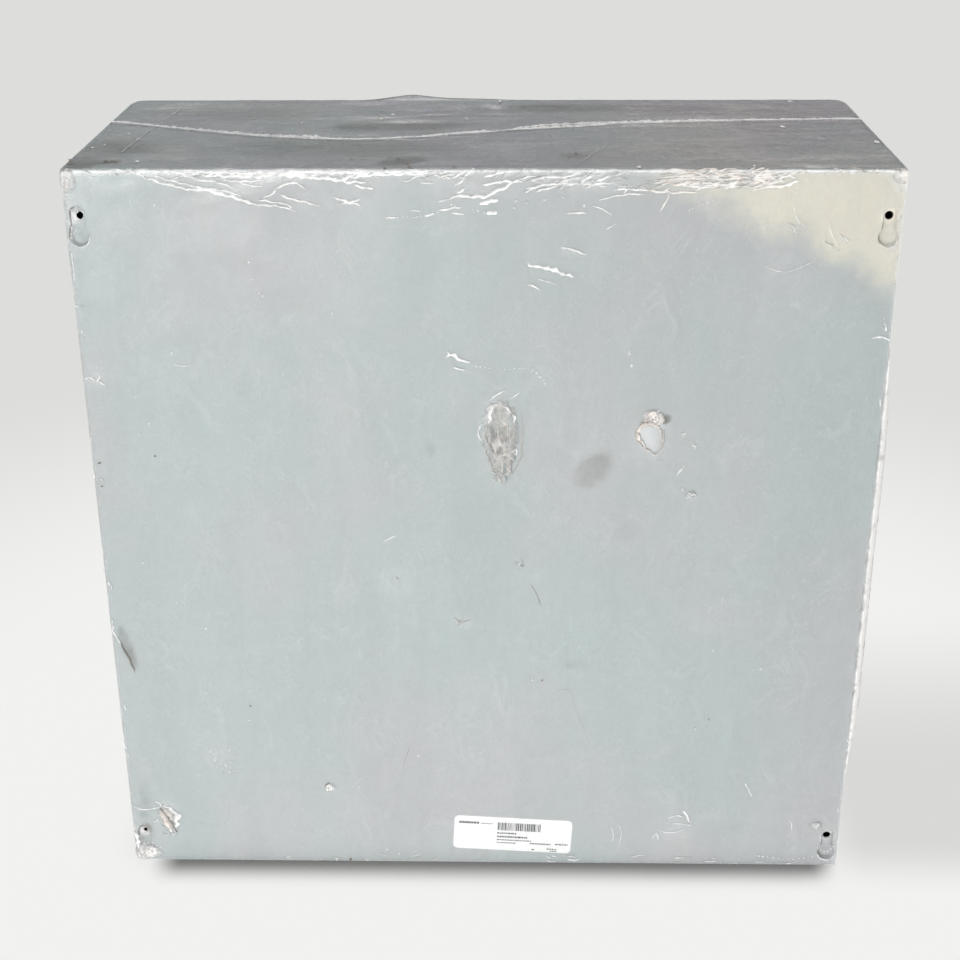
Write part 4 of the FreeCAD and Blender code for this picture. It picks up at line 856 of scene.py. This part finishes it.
def window_radius(angle):
    """Over both screw holes on the -X side the film is cut open by hand."""
    return WINDOW * (1 + 0.04 * math.sin(3 * angle + 1) + 0.03 * math.sin(5 * angle))


def slit_radius(angle):
    """Over the upper one on the +X side it is only slit."""
    return SLIT[0] + SLIT[1] * abs(math.sin(angle))


def prick_radius(angle):
    """And over the lower one it is only pricked."""
    return PRICK[0] + PRICK[1] * abs(math.sin(angle))


def openings():
    """Middle and outline of each opening in the back's film."""
    mount = next(m for m in frame["record"]["mounts"] if m["name"] == "wall_keyholes")
    spread_x, spread_z = mount["dims"]["spacing_x_mm"] / 2, mount["dims"]["spacing_y_mm"] / 2
    across, down = BACK_SPAN / MM / 2, (HEIGHT - mount["pos_m"][2]) / MM
    found = [(TEAR_AT, tear_radius)]
    for side, level, (off_x, off_z), outline in (
            (-1, -1, SLIT[2], slit_radius), (-1, 1, PRICK[2], prick_radius),
            (1, -1, (0, 0), window_radius), (1, 1, (0, 0), window_radius)):
        place = (across + side * spread_x + off_x, down + level * spread_z + off_z)
        found.append((place, outline))
    return found


def cut_openings(places, cell):
    """Moves the points in each opening, and just outside it, onto its outline. Gives back which
    points are on none: a face needs one of those to be kept."""
    kept = [True] * len(places)
    for (x, y), outline in openings():
        for i, (across, down) in enumerate(places):
            dx, dy = across / MM - x, down / MM - y
            if abs(dx) > 20 or abs(dy) > 20:
                continue
            angle = math.atan2(dy, dx)
            edge = outline(angle)
            if math.hypot(dx, dy) < edge + 0.5 * cell / MM:
                kept[i] = False
                places[i] = ((x + edge * math.cos(angle)) * MM, (y + edge * math.sin(angle)) * MM)
    return kept


def steps(low, high, size):
    count = max(1, round((high - low) / size))
    return [low + (high - low) * i / count for i in range(count + 1)]


def make_film_wrap():
    """The film over the back and both sides, one sheet, with its openings."""
    bend = steps(-TURN_LENGTH + UPRIGHT_BEND, UPRIGHT_BEND, BEND_CELL)
    side = steps(-SIDE_RUN - TURN_LENGTH + UPRIGHT_BEND, -TURN_LENGTH + UPRIGHT_BEND, SIDE_CELL)
    middle = steps(UPRIGHT_BEND, BACK_SPAN - UPRIGHT_BEND, CELL)
    half = side[:-1] + bend[:-1]
    columns = half + middle + [BACK_SPAN - a for a in reversed(half)]
    crest = steps(CREST_BEND * (1 - math.pi / 2), CREST_BEND, CREST_CELL)
    rows = crest[:-1] + steps(CREST_BEND, HEIGHT - SKIRT, CELL)
    places = [(across, down) for down in rows for across in columns]
    kept = cut_openings(places, CELL)
    verts, marks = [], []
    reach = -side[0]
    for across, down in places:
        past = max(-across, across - BACK_SPAN)
        if past > 0:        # the cut edge runs forward under the hood, and is never quite straight
            share = limit((past - 0.02) / (reach - 0.02), 0.0, 1.0)
            hood = math.exp(-(max(down, 0) / HOOD_DOWN) ** 2) * (HOOD_RUN - SIDE_RUN)
            wave = 0.004 * waves(down * 16, 2.0 if across < 0 else 9.0, 0)
            shift = share * share * (hood + wave)
            across += -shift if across < 0 else shift
        verts.append(film_point(across, down, slack(across, down)))
        marks.append(film_marks(across, down))
    faces = grid_faces(len(columns), len(rows), kept)
    verts, faces, marks = tidy(verts, faces, marks)
    made = film_piece("film_wrap", verts, faces, FILM_BACK, marks)
    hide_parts("shrink_film")
    return made


def top_slack(x, y):
    """How far the film stands off the top, with the seam drawn up into a low ridge."""
    loose = 0.12 + 0.5 * hills(x / 40, y / 30, 2.4)
    loose += 0.35 * hills(x / 14, y / 12, 6.1)
    off = y - seam_y(x)
    loose += 0.5 * math.exp(-(off / 5) ** 2)
    for across, along_y, wide, deep, tall in PUCKERS:
        loose += tall * math.exp(-((x - across) / wide) ** 2 - ((y - along_y) / deep) ** 2)
    return loose * MM


def seam_y(x):
    """Where the seam crosses the top, by X, in millimetres."""
    if x >= SEAM[0][0]:
        return SEAM[0][1]
    for (x0, y0), (x1, y1) in zip(SEAM, SEAM[1:]):
        if x >= x1:
            return y0 + (y1 - y0) * (x0 - x) / (x0 - x1)
    return SEAM[-1][1]


def top_front(x):
    """Front edge of the top's film, round the hood's corners."""
    into = abs(x) - (FILM_HIGH.x - HOOD_CORNER)
    round_off = HOOD_CORNER - math.sqrt(max(HOOD_CORNER ** 2 - max(into, 0) ** 2, 0))
    return FILM_LOW.y + round_off


def make_film_top():
    """The film over the top: a sheet with a rolled-over border and ripples along the seam."""
    half_x = FILM_HIGH.x - CREST_BEND * 0.5
    back = FILM_HIGH.y - CREST_BEND * 0.5
    columns = steps(-half_x, half_x, CELL)
    rows = steps(0, 1, CELL / (FILM_HIGH.y - FILM_LOW.y))
    verts, marks = [], []
    last_column, last_row = len(columns) - 1, len(rows) - 1
    for j, share in enumerate(rows):
        for i, x in enumerate(columns):
            front = top_front(x)
            y = front + (back - front) * share
            z = FILM_HIGH.z + TOP_GAP + top_slack(x / MM, y / MM)
            border = i in (0, last_column) or j in (0, last_row)
            if border:
                z = FILM_HIGH.z - (0.0003 if j == last_row else BORDER_DOWN)
                x += BORDER_OUT * (-1 if i == 0 else 1 if i == last_column else 0)
                y += -BORDER_OUT if j == 0 else 0
            verts.append((x, y, z))
            a, b = x / MM, y / MM
            white = 2.5 * blob(a, b, TOP_HAZES) + 0.03 * math.exp(-((b - seam_y(a)) / 5) ** 2)
            dusty = limit((-60 - a) / 140, 0, 1)
            dusty *= 0.75 + 0.5 * waves(a / 50, b / 9, 5.7)
            marks.append((white + 0.17 * dusty, blob(a, b, TOP_GRIME_AND_SHADE), 0.10 * dusty))
    faces = grid_faces(len(columns), len(rows))
    return film_piece("film_top", verts, faces, FILM_TOP, marks, turned=False)


def resample(points, step):
    """Points at even steps along a smooth curve through a route, as (x, y) pairs."""
    ends = [points[0], *points, points[-1]]
    fine = []
    for a, b, c, d in zip(ends, ends[1:], ends[2:], ends[3:]):
        count = max(2, int(math.dist(b, c) / step))
        for i in range(count):
            t = i / count
            fine.append(tuple(
                0.5 * (2 * q + (r - p) * t + (2 * p - 5 * q + 4 * r - s) * t ** 2
                       + (3 * q - p - 3 * r + s) * t ** 3) for p, q, r, s in zip(a, b, c, d)))
    fine.append(points[-1])
    return fine


# the section of a fold: share of its half breadth, share of its height
FOLD = ((-1.0, -0.12), (-0.5, 0.42), (-0.06, 1.0), (0.34, 0.52), (1.0, -0.12))


def add_fold(verts, faces, marks, route, breadth, height, lay, seed, white, step=1.2):
    """Adds one tapering fold along a route. `lay` turns a route's point and a height into space."""
    line = resample(route, step)
    first = len(verts)
    total = len(line) - 1
    for i, (x, y) in enumerate(line):
        before, after = line[max(i - 1, 0)], line[min(i + 1, total)]
        run = math.dist(before, after) or 1.0
        side = (-(after[1] - before[1]) / run, (after[0] - before[0]) / run)
        taper = math.sin(math.pi * (0.04 + 0.92 * i / total)) ** 0.55
        swell = 0.85 + 0.7 * waves(x / 3.1, y / 3.1, seed)
        wander = 0.5 * breadth * waves(x / 4.7, y / 4.7, seed + 31)
        half = 0.5 * breadth * taper * max(swell, 0.25)
        for share, rise in FOLD:
            off = wander + share * half
            tall = height * taper * rise * max(0.5 + 0.8 * swell, 0.3)
            verts.append(lay(x + side[0] * off, y + side[1] * off, tall * MM))
            # the film is whiter up on the fold: partly film whitened where it is creased, partly a
            # painted glint
            marks.append((white * (0.75 + 0.5 * swell * max(rise, 0.2)), 0.0, 0.0))
    width = len(FOLD)
    for i in range(total):
        for k in range(width - 1):
            a = first + i * width + k
            faces.append((a, a + width, a + width + 1, a + 1))


def on_wrap(x, y, rise):
    across, down = x * MM, min(y * MM, HEIGHT - SKIRT)
    return film_point(across, down, slack(across, down) + CLEAR + rise)


def on_top(x, y, rise):
    half_x = FILM_HIGH.x / MM
    x = limit(x, -half_x, half_x)
    y = limit(y, top_front(x * MM) / MM, FILM_HIGH.y / MM)
    return Vector((x * MM, y * MM, FILM_HIGH.z + TOP_GAP + CLEAR + top_slack(x, y) + rise))


def stroke(x, y, reach, way, *middle):
    """A short route across (x, y), bent through a middle point if it has one."""
    dx, dy = reach * math.cos(way), reach * math.sin(way)
    return [(x - dx, y - dy), *middle, (x + dx, y + dy)]


def make_creases():
    """Every sharp fold on the back: the long ones by their routes, the small ones strewn."""
    verts, faces, marks = [], [], []
    for number, (breadth, height, route) in enumerate(CREASES):
        add_fold(verts, faces, marks, route, breadth * 1.35, height * 1.2, on_wrap, number, 0.62)
    draw = random.Random(41)
    for route, dash in DOTTED:      # a row of pricks, where the film caught and let go
        line = resample(route, dash)
        for number, (x, y) in enumerate(line[::2]):
            way = draw.uniform(0, math.pi)
            ends = stroke(x, y, dash * draw.uniform(0.25, 0.6), way)
            add_fold(verts, faces, marks, ends, 0.9, 0.6, on_wrap, 60 + number, 0.6, 0.6)
    for x, y, breadth, is_dark in FLECKS:
        for number in range(0 if is_dark else 3):
            way = draw.uniform(0, math.pi)
            reach = breadth * draw.uniform(0.4, 0.95)
            shift = breadth * draw.uniform(-0.45, 0.45)
            u, v = x - shift * math.sin(way), y + shift * math.cos(way)
            route = stroke(u, v, reach, way, (u, v + 0.15 * breadth))
            add_fold(verts, faces, marks, route, 0.22 * breadth + 0.5, 0.2 * breadth + 0.3, on_wrap,
                     400 + number, 0.45, 0.6)
    for band in (*STREWN, THICK_BAND):
        left, right, above, below, count, length, tilt = band
        thick = band is THICK_BAND
        for number in range(count):
            x, y = draw.uniform(left, right), draw.uniform(above, below)
            way = math.radians(tilt + draw.gauss(0, 10 if thick else 16))
            run = length * draw.uniform(0.4, 1.3) / 2
            sag = draw.uniform(-0.18, 0.18) * run
            middle = (x - sag * math.sin(way), y + sag * math.cos(way))
            route = [(px, limit(py, -1.5, 608.5)) for px, py in stroke(x, y, run, way, middle)]
            heavy = 1.6 if thick else 1.0
            add_fold(verts, faces, marks, route, heavy * draw.uniform(0.5, 1.6),
                     heavy * draw.uniform(0.3, 0.8), on_wrap, 100 + number,
                     draw.uniform(0.22 if thick else 0.02, 0.64))
    for number, vert in enumerate(verts):       # the band by that corner is tan too, the same painted warm light on its folds
        across, down = (FILM_HIGH.x - vert.x) / MM, (HEIGHT - vert.z) / MM
        if down < 36 and across > 420:
            tan_share = 0.15 + 0.26 * waves(across / 9, down / 6, 4.4)
            marks[number] = (marks[number][0] * 0.9, 0.0, max(tan_share, 0.0))
    return film_piece("film_creases", verts, faces, FILM_FOLD, marks)


def make_tinted_folds():
    """The folds round the crumple, the torn hole, the lower corner and the screw holes, with their
    own tints; some of them are painted shade and painted highlights.
    """
    verts, faces, marks = [], [], []
    for number, (breadth, height, white, tan, darkening, route) in enumerate(TINTED_FOLDS):
        first = len(marks)
        add_fold(verts, faces, marks, route, breadth, height * 1.5, on_wrap, 500 + number, white,
                 0.8)
        marks[first:] = [(w, darkening, tan * 0.6) for w, _, _ in marks[first:]]
    return film_piece("film_tinted_folds", verts, faces, FILM_FOLD, marks)


def make_top_creases():
    verts, faces, marks = [], [], []
    for number, (breadth, height, route) in enumerate(TOP_CREASES):
        add_fold(verts, faces, marks, route, breadth, height, on_top, 300 + number, 0.3)
    return film_piece("film_top_creases", verts, faces, FILM_TOP, marks, turned=False)


# the sealed seam stands up as a narrow fin and leans back over
FIN = ((-1.5, -0.1), (-0.6, 0.3), (-0.3, 1.0), (0.1, 1.5), (0.5, 1.35), (0.45, 0.8), (0.8, 0.2),
       (1.5, -0.1))
# how tall the fin is along X, as a share of the section above
SEAM_TALL = ((305, 0.9), (200, 1.05), (142, 1.15), (131, 2.3), (118, 0.6), (66, 0.55), (40, 0.8),
             (0, 1.0), (-13, 0.12), (-22, 0.2), (-30, 0.9), (-100, 1.2), (-125, 1.5), (-170, 1.3),
             (-220, 0.85), (-305, 0.75))


def along(table, x):
    """A number read off a table of (X, number) pairs that run towards -X."""
    for (x0, value0), (x1, value1) in zip(table, table[1:]):
        if x >= x1:
            return value0 + (value1 - value0) * limit((x0 - x) / (x0 - x1), 0, 1)
    return table[-1][1]


def make_seam(name, route, tall):
    """The film's heat-sealed seam across the top, a wavering fin."""
    verts, marks = [], []
    line = resample(route, 1.2)
    total = len(line) - 1
    for i, (x, y) in enumerate(line):
        end = min(i, total - i)
        ragged = 1 + 0.6 * waves(x / 3.2, 0.5, 3) + 0.5 * waves(x / 1.1, 2.5, 3)
        rise = tall * min(1.0, 0.4 + end / 8) * ragged * along(SEAM_TALL, x)
        lean = 1.1 * waves(x / 16, 4.0, 1)
        brown = 0.30 * hills(x / 4, 1.0, 8) if -110 < x < 66 else 0.0
        for off, up in FIN:
            place = off * (0.6 + 0.4 * rise) + lean * max(up, 0) / 3
            verts.append(on_top(x, y + place, max(up, 0) * rise * MM))
            white = 0.50 + 0.2 * up + 0.45 * waves(x / 2.2, up, 7)
            marks.append((max(white, 0), 0.3 * brown, brown + 0.05))
    faces = grid_faces(len(FIN), len(line))
    return film_piece(name, verts, faces, FILM_FOLD, marks, turned=False)


def make_crumple(name, spec, seed):
    """A patch of film drawn up into hard little folds that die away at its rim."""
    across, down, wide, tall, height, grain, white, tan, tilt, taper, upright = spec
    columns = steps(-wide / 2, wide / 2, CRUMPLE_CELL)
    rows = steps(-tall / 2, tall / 2, CRUMPLE_CELL)
    verts, marks, kept = [], [], []
    for v in rows:
        level = 2 * v / tall
        narrow = (1 + taper * level) / (1 - taper)
        for u in columns:
            ragged = 1 - 0.34 * abs(waves(u / 6, v / 8, seed))
            far = math.hypot(2 * u * narrow / wide, level) / ragged
            envelope = max(0.0, 1 - far * far) ** 0.55
            long_folds = ridges(u / grain, v / grain / upright, seed)
            short_folds = ridges(u / grain * 1.3, v / grain * 1.3 / math.sqrt(upright), seed + 50)
            share = limit(0.5 + level * 1.6, 0.0, 1.0) if upright > 2 else 0.5
            fold = long_folds * (1 - share) + short_folds * share
            rise = height * envelope * (0.12 + 1.15 * fold ** 1.5)
            x, y = rotated(u, v, math.radians(tilt))
            a, d = (across + x) * MM, min(down + y, HEIGHT / MM - 1.2) * MM
            verts.append(film_point(a, d, slack(a, d) + (0.10 + rise) * MM))
            patchy = 0.5 + 0.9 * waves(u / 6, v / 6, seed + 9)
            # whiter along the ridges and over the upper part: partly film gone milky, partly a
            # painted highlight from above
            bright = white * envelope * max(0.0, 1.5 * fold * fold + patchy * max(-level, 0.1))
            stained = tan * envelope * max(0.0, 0.55 + waves(u / 4, v / 11, seed + 3))
            darkening = 0.7 if upright > 2 else 0.22
            marks.append((min(bright, 0.95), darkening * stained, stained * 0.6))
            kept.append(far < 1)
    faces = grid_faces(len(columns), len(rows), kept)
    verts, faces, marks = tidy(verts, faces, marks)
    return film_piece(name, verts, faces, FILM_BACK, marks)


def make_fold_edge():
    """The outer edge of the fold off the -X corner, a thin darker line."""
    verts, faces, marks = [], [], []
    peak = (BACK_SPAN + BILLOW_AT - 0.001) / MM
    for shift, start, end in ((0, 150, 500), (1.2, 300, 480)):
        route = [(peak + shift, start + (end - start) * k / 12) for k in range(13)]
        add_fold(verts, faces, marks, route, 0.9, 0.35, on_wrap, 70 + shift, 0.05)
    marks = [(0.05, 0.3, 0.35)] * len(verts)
    return film_piece("film_fold_edge", verts, faces, FILM_TOP, marks)


def make_tear_rim():
    """The torn hole's edge, shrunk back into a thin beaded roll with a frilled skirt outside it."""
    verts, faces, marks = [], [], []
    around, ring = 220, 8
    for i in range(around):
        angle = math.tau * i / around
        edge = tear_radius(angle)
        c, s = math.cos(angle), math.sin(angle)
        bead = 1 + 0.7 * waves(edge * c / 1.6, edge * s / 1.6, 4)
        heavy = 1 + 0.9 * math.exp(-((angle - math.tau * 0.75) / 0.7) ** 2)
        heavy *= 0.75 + 0.35 * math.cos(angle - 3.6)
        for k in range(ring):
            turn = math.tau * k / ring
            size = TEAR_RIM * max(bead, 0.35) * heavy
            out = edge + 0.3 + size * 1.2 * math.cos(turn) + 0.5 * waves(c * 4, s * 4, 9)
            rise = size * (0.9 + 0.9 * math.sin(turn))
            across, down = TEAR_AT[0] + out * c, TEAR_AT[1] + out * s
            verts.append(on_wrap(across, down, rise * MM))
            tan_share = 0.20 + 0.22 * waves(edge * c, edge * s, turn)
            marks.append((0.16 + 0.3 * max(bead - 1, 0), 0.08, max(tan_share, 0.0)))
    for i in range(around):
        for k in range(ring):
            a, b = i * ring + k, i * ring + (k + 1) % ring
            c, d = ((i + 1) % around) * ring + (k + 1) % ring, ((i + 1) % around) * ring + k
            faces.append((a, b, c, d))
    return film_piece("film_tear_rim", verts, faces, FILM_FOLD, marks, turned=False)


def make_flecks(name, spots, lay, dark, seed):
    """Loose chips: ragged little plates, domed in the middle."""
    draw = random.Random(seed)
    verts, faces = [], []
    for x, y, breadth, is_dark in spots:
        if bool(is_dark) != dark:
            continue
        sides, first = 9, len(verts)
        long_way, stretch = draw.uniform(0, math.pi), draw.uniform(1.2, 2.0)
        verts.append(lay(x, y, breadth * 0.28 * MM))
        for ring, rise in ((0.55, 0.2), (1.0, 0.02)):
            for k in range(sides):
                angle = math.tau * k / sides
                reach = breadth / 2 * ring * draw.uniform(0.7, 1.25)
                u, v = reach * stretch * math.cos(angle), reach * math.sin(angle)
                u, v = rotated(u, v, long_way)
                verts.append(lay(x + u, y + v, breadth * rise * draw.uniform(0.6, 1.3) * MM))
        for k in range(sides):
            a, b = first + 1 + k, first + 1 + (k + 1) % sides
            faces.append((first, a, b))
            faces.append((a, a + sides, b + sides, b))
    material = CHIP_DARK if dark else CHIP_PALE
    return piece(name, verts, faces, material, smooth=False)


LABEL_TILT = 3.1                # how far the label was stuck on askew, in degrees
LABEL_HALF = (0.0508, 0.017)    # half its width and height


def make_label_print():
    """Plain bars and dashes where a stock label has its print, with no letters in them."""
    middle = (LABEL_LOW + LABEL_HIGH) / 2
    tilt = math.radians(LABEL_TILT)
    rightward = Vector((-math.cos(tilt), 0, -math.sin(tilt)))
    downward = Vector((math.sin(tilt), 0, -math.cos(tilt)))
    top_left = middle - rightward * LABEL_HALF[0] - downward * LABEL_HALF[1]
    top_left.y = LABEL_HIGH.y + 0.00003
    verts, faces = [], []

    def bar(left, top, wide, tall):
        first = len(verts)
        right, foot = left + wide, top + tall
        for u, v in ((left, top), (right, top), (right, foot), (left, foot)):
            verts.append(top_left + rightward * (u * MM) + downward * (v * MM))
        faces.append((first, first + 3, first + 2, first + 1))

    def line(left, top, length, tall, longest, shortest=0.8):
        """A row of dashes that stands for a line of print."""
        end = left + length
        while left < end - shortest:
            wide = min(draw.uniform(shortest, longest), end - left)
            bar(left, top, wide, tall)
            left += wide + draw.uniform(0.45, 0.8)

    draw = random.Random(7)
    for k in range(7):                      # a plain block of short thick dashes at the head
        bar(4.2 + 2.5 * k, 5.6, 2.0, 2.1)
    line(23, 6.6, 10, 0.8, 2.2)
    left = 37.5
    while left < 74:                        # a row of plain bars
        wide = draw.choice((0.35, 0.35, 0.7, 1.0))
        bar(left, 5.2, wide, 8.0)
        left += wide + draw.choice((0.35, 0.5, 0.8))
    line(37.5, 15.4, 17, 1.5, 2.6)
    line(37.5, 19.0, 26, 1.7, 2.8)
    line(37.5, 22.6, 30, 1.1, 2.4)
    line(37.5, 25.6, 17, 1.1, 2.2)
    line(66, 25.0, 18, 1.3, 2.4)
    line(88, 24.6, 11, 1.3, 2.6)
    line(81, 30.0, 10, 1.0, 2.4)
    line(68, 31.2, 2.4, 1.2, 2.4)
    line(84, 31.9, 6, 1.0, 2.0)
    return piece("label_print", verts, faces, INK, smooth=False)


# ================================================================== studio
CAMERA_AT = (-0.02275, 1.27468, 0.88233)
CAMERA_TURN = (65.7564, 0.2831, 181.1313)
LENS, SENSOR = 60.553, 36.0
FAR_COLOUR = (0.725, 0.73, 0.71, 1)
FLOOR_REACH, FLOOR_SIDES = 14, 96
FLOOR_DROP = 0.0002       # gap between the cabinet and the floor


def make_camera():
    data = bpy.data.cameras.new("camera")
    data.lens, data.sensor_width = LENS, SENSOR
    camera = bpy.data.objects.new("camera", data)
    camera.location = CAMERA_AT
    camera.rotation_euler = Euler([math.radians(a) for a in CAMERA_TURN])
    bpy.context.scene.collection.objects.link(camera)
    bpy.context.scene.camera = camera


def soft_lamp(name, at, aim, size, power, mirrored=True):
    data = bpy.data.lights.new(name, "AREA")
    data.shape, data.size, data.energy = "DISK", size, power
    lamp = bpy.data.objects.new(name, data)
    lamp.location = at
    lamp.rotation_euler = (Vector(aim) - Vector(at)).to_track_quat("-Z", "Y").to_euler()
    lamp.visible_glossy = mirrored
    bpy.context.scene.collection.objects.link(lamp)


def make_floor():
    """A pale floor that glows, so that it stays pale. Its shadow is painted into the glow: soft
    along the foot, faint at the sides, and wide on the -X side."""
    r = Recipe("floor_look")
    far = r.joined("VectorMath", {"operation": "LENGTH"}, r.place).outputs["Value"]
    tone = r.band(far, 0.5, 1.25)
    colour = r.tint(tone, (0.885, 0.885, 0.875, 1), FAR_COLOUR)
    x, y, _ = r.axes()
    beside = r.maths("ABSOLUTE", r.plus(x, 0.008), 0.0)
    # painted contact shadow round the cabinet's foot, weaker beside its sides
    dark = r.band(r.nooks(0.042, 16), 0.985, 0.5, 0.0, 0.8)
    dark = r.times(dark, r.band(beside, 0.272, 0.304, 1.0, 0.07))
    # a wide, faint painted shadow on the floor on the -X side
    painted_cast_shadow = r.times(r.band(y, 0.17, 0.09), r.band(y, -0.36, -0.02))
    painted_cast_shadow = r.times(painted_cast_shadow, r.band(x, -1.2, -0.6, 0.0, 0.22))
    painted_cast_shadow = r.times(painted_cast_shadow, r.band(x, -0.27, -0.34))
    dark = r.maths("MAXIMUM", dark, painted_cast_shadow)
    glow = r.node("Emission", Color=r.tint(dark, colour, (0, 0, 0, 1))).outputs[0]
    floor = bpy.data.meshes.new("floor")
    turns = [k * math.tau / FLOOR_SIDES for k in range(FLOOR_SIDES)]
    rim = [(FLOOR_REACH * math.cos(turn), FLOOR_REACH * math.sin(turn), 0) for turn in turns]
    floor.from_pydata(rim, [], [tuple(range(FLOOR_SIDES))])
    floor.materials.append(r.finish(glow))
    made = bpy.data.objects.new("floor", floor)
    made.location.z = CAD_BOX[0][2] - FLOOR_DROP
    bpy.context.scene.collection.objects.link(made)


def make_studio():
    world = bpy.data.worlds.new("studio")
    world.use_nodes = True
    nodes, links = world.node_tree.nodes, world.node_tree.links
    nodes.clear()
    out = nodes.new("ShaderNodeOutputWorld")
    seen, felt = nodes.new("ShaderNodeBackground"), nodes.new("ShaderNodeBackground")
    seen.inputs["Color"].default_value = FAR_COLOUR
    felt.inputs["Color"].default_value = (0.21, 0.21, 0.215, 1)
    pick, ray = nodes.new("ShaderNodeMixShader"), nodes.new("ShaderNodeLightPath")
    links.new(ray.outputs["Is Camera Ray"], pick.inputs[0])
    links.new(felt.outputs[0], pick.inputs[1])
    links.new(seen.outputs[0], pick.inputs[2])
    links.new(pick.outputs[0], out.inputs["Surface"])
    bpy.context.scene.world = world
    bpy.context.scene.view_settings.view_transform = "Standard"
    aim = (0, 0, 0.3)
    soft_lamp("key", (1.35, 4.2, 0.6), aim, 1.6, 112)
    soft_lamp("overhead", (0.3, -0.9, 3.3), (0, 0, 0.6), 1.6, 39)
    soft_lamp("fill_front", (0.6, -3.4, 0.75), aim, 1.8, 38, mirrored=False)
    soft_lamp("fill_left", (3.4, -0.6, 0.75), aim, 1.8, 34, mirrored=False)
    soft_lamp("fill_right", (-3.2, 1.2, 0.75), aim, 1.8, 78, mirrored=False)
    soft_lamp("foot_glow", (0.1, 1.0, 0.1), (0.05, 0.13, 0.05), 0.5, 1.5, mirrored=False)


# ================================================================== assembly
dress_cad_nodes()
wrap = make_film_wrap()
top = make_film_top()
folds = [
    make_creases(),
    make_tinted_folds(),
    make_tear_rim(),
    make_fold_edge(),
    *[make_crumple(name, spec, 11.0 + k) for k, (name, spec) in enumerate(CRUMPLES.items())],
]
top_folds = [
    make_seam("film_seam", SEAM, 0.75),
    make_seam("film_seam_twin", SEAM_TWIN, 0.9),
    make_top_creases(),
]
make_flecks("grit_back", FLECKS, on_wrap, True, 4)
make_flecks("film_chips_top", TOP_FLECKS, on_top, False, 5)
make_flecks("grit_top", TOP_FLECKS, on_top, True, 6)
make_label_print()
make_floor()
make_camera()
make_studio()
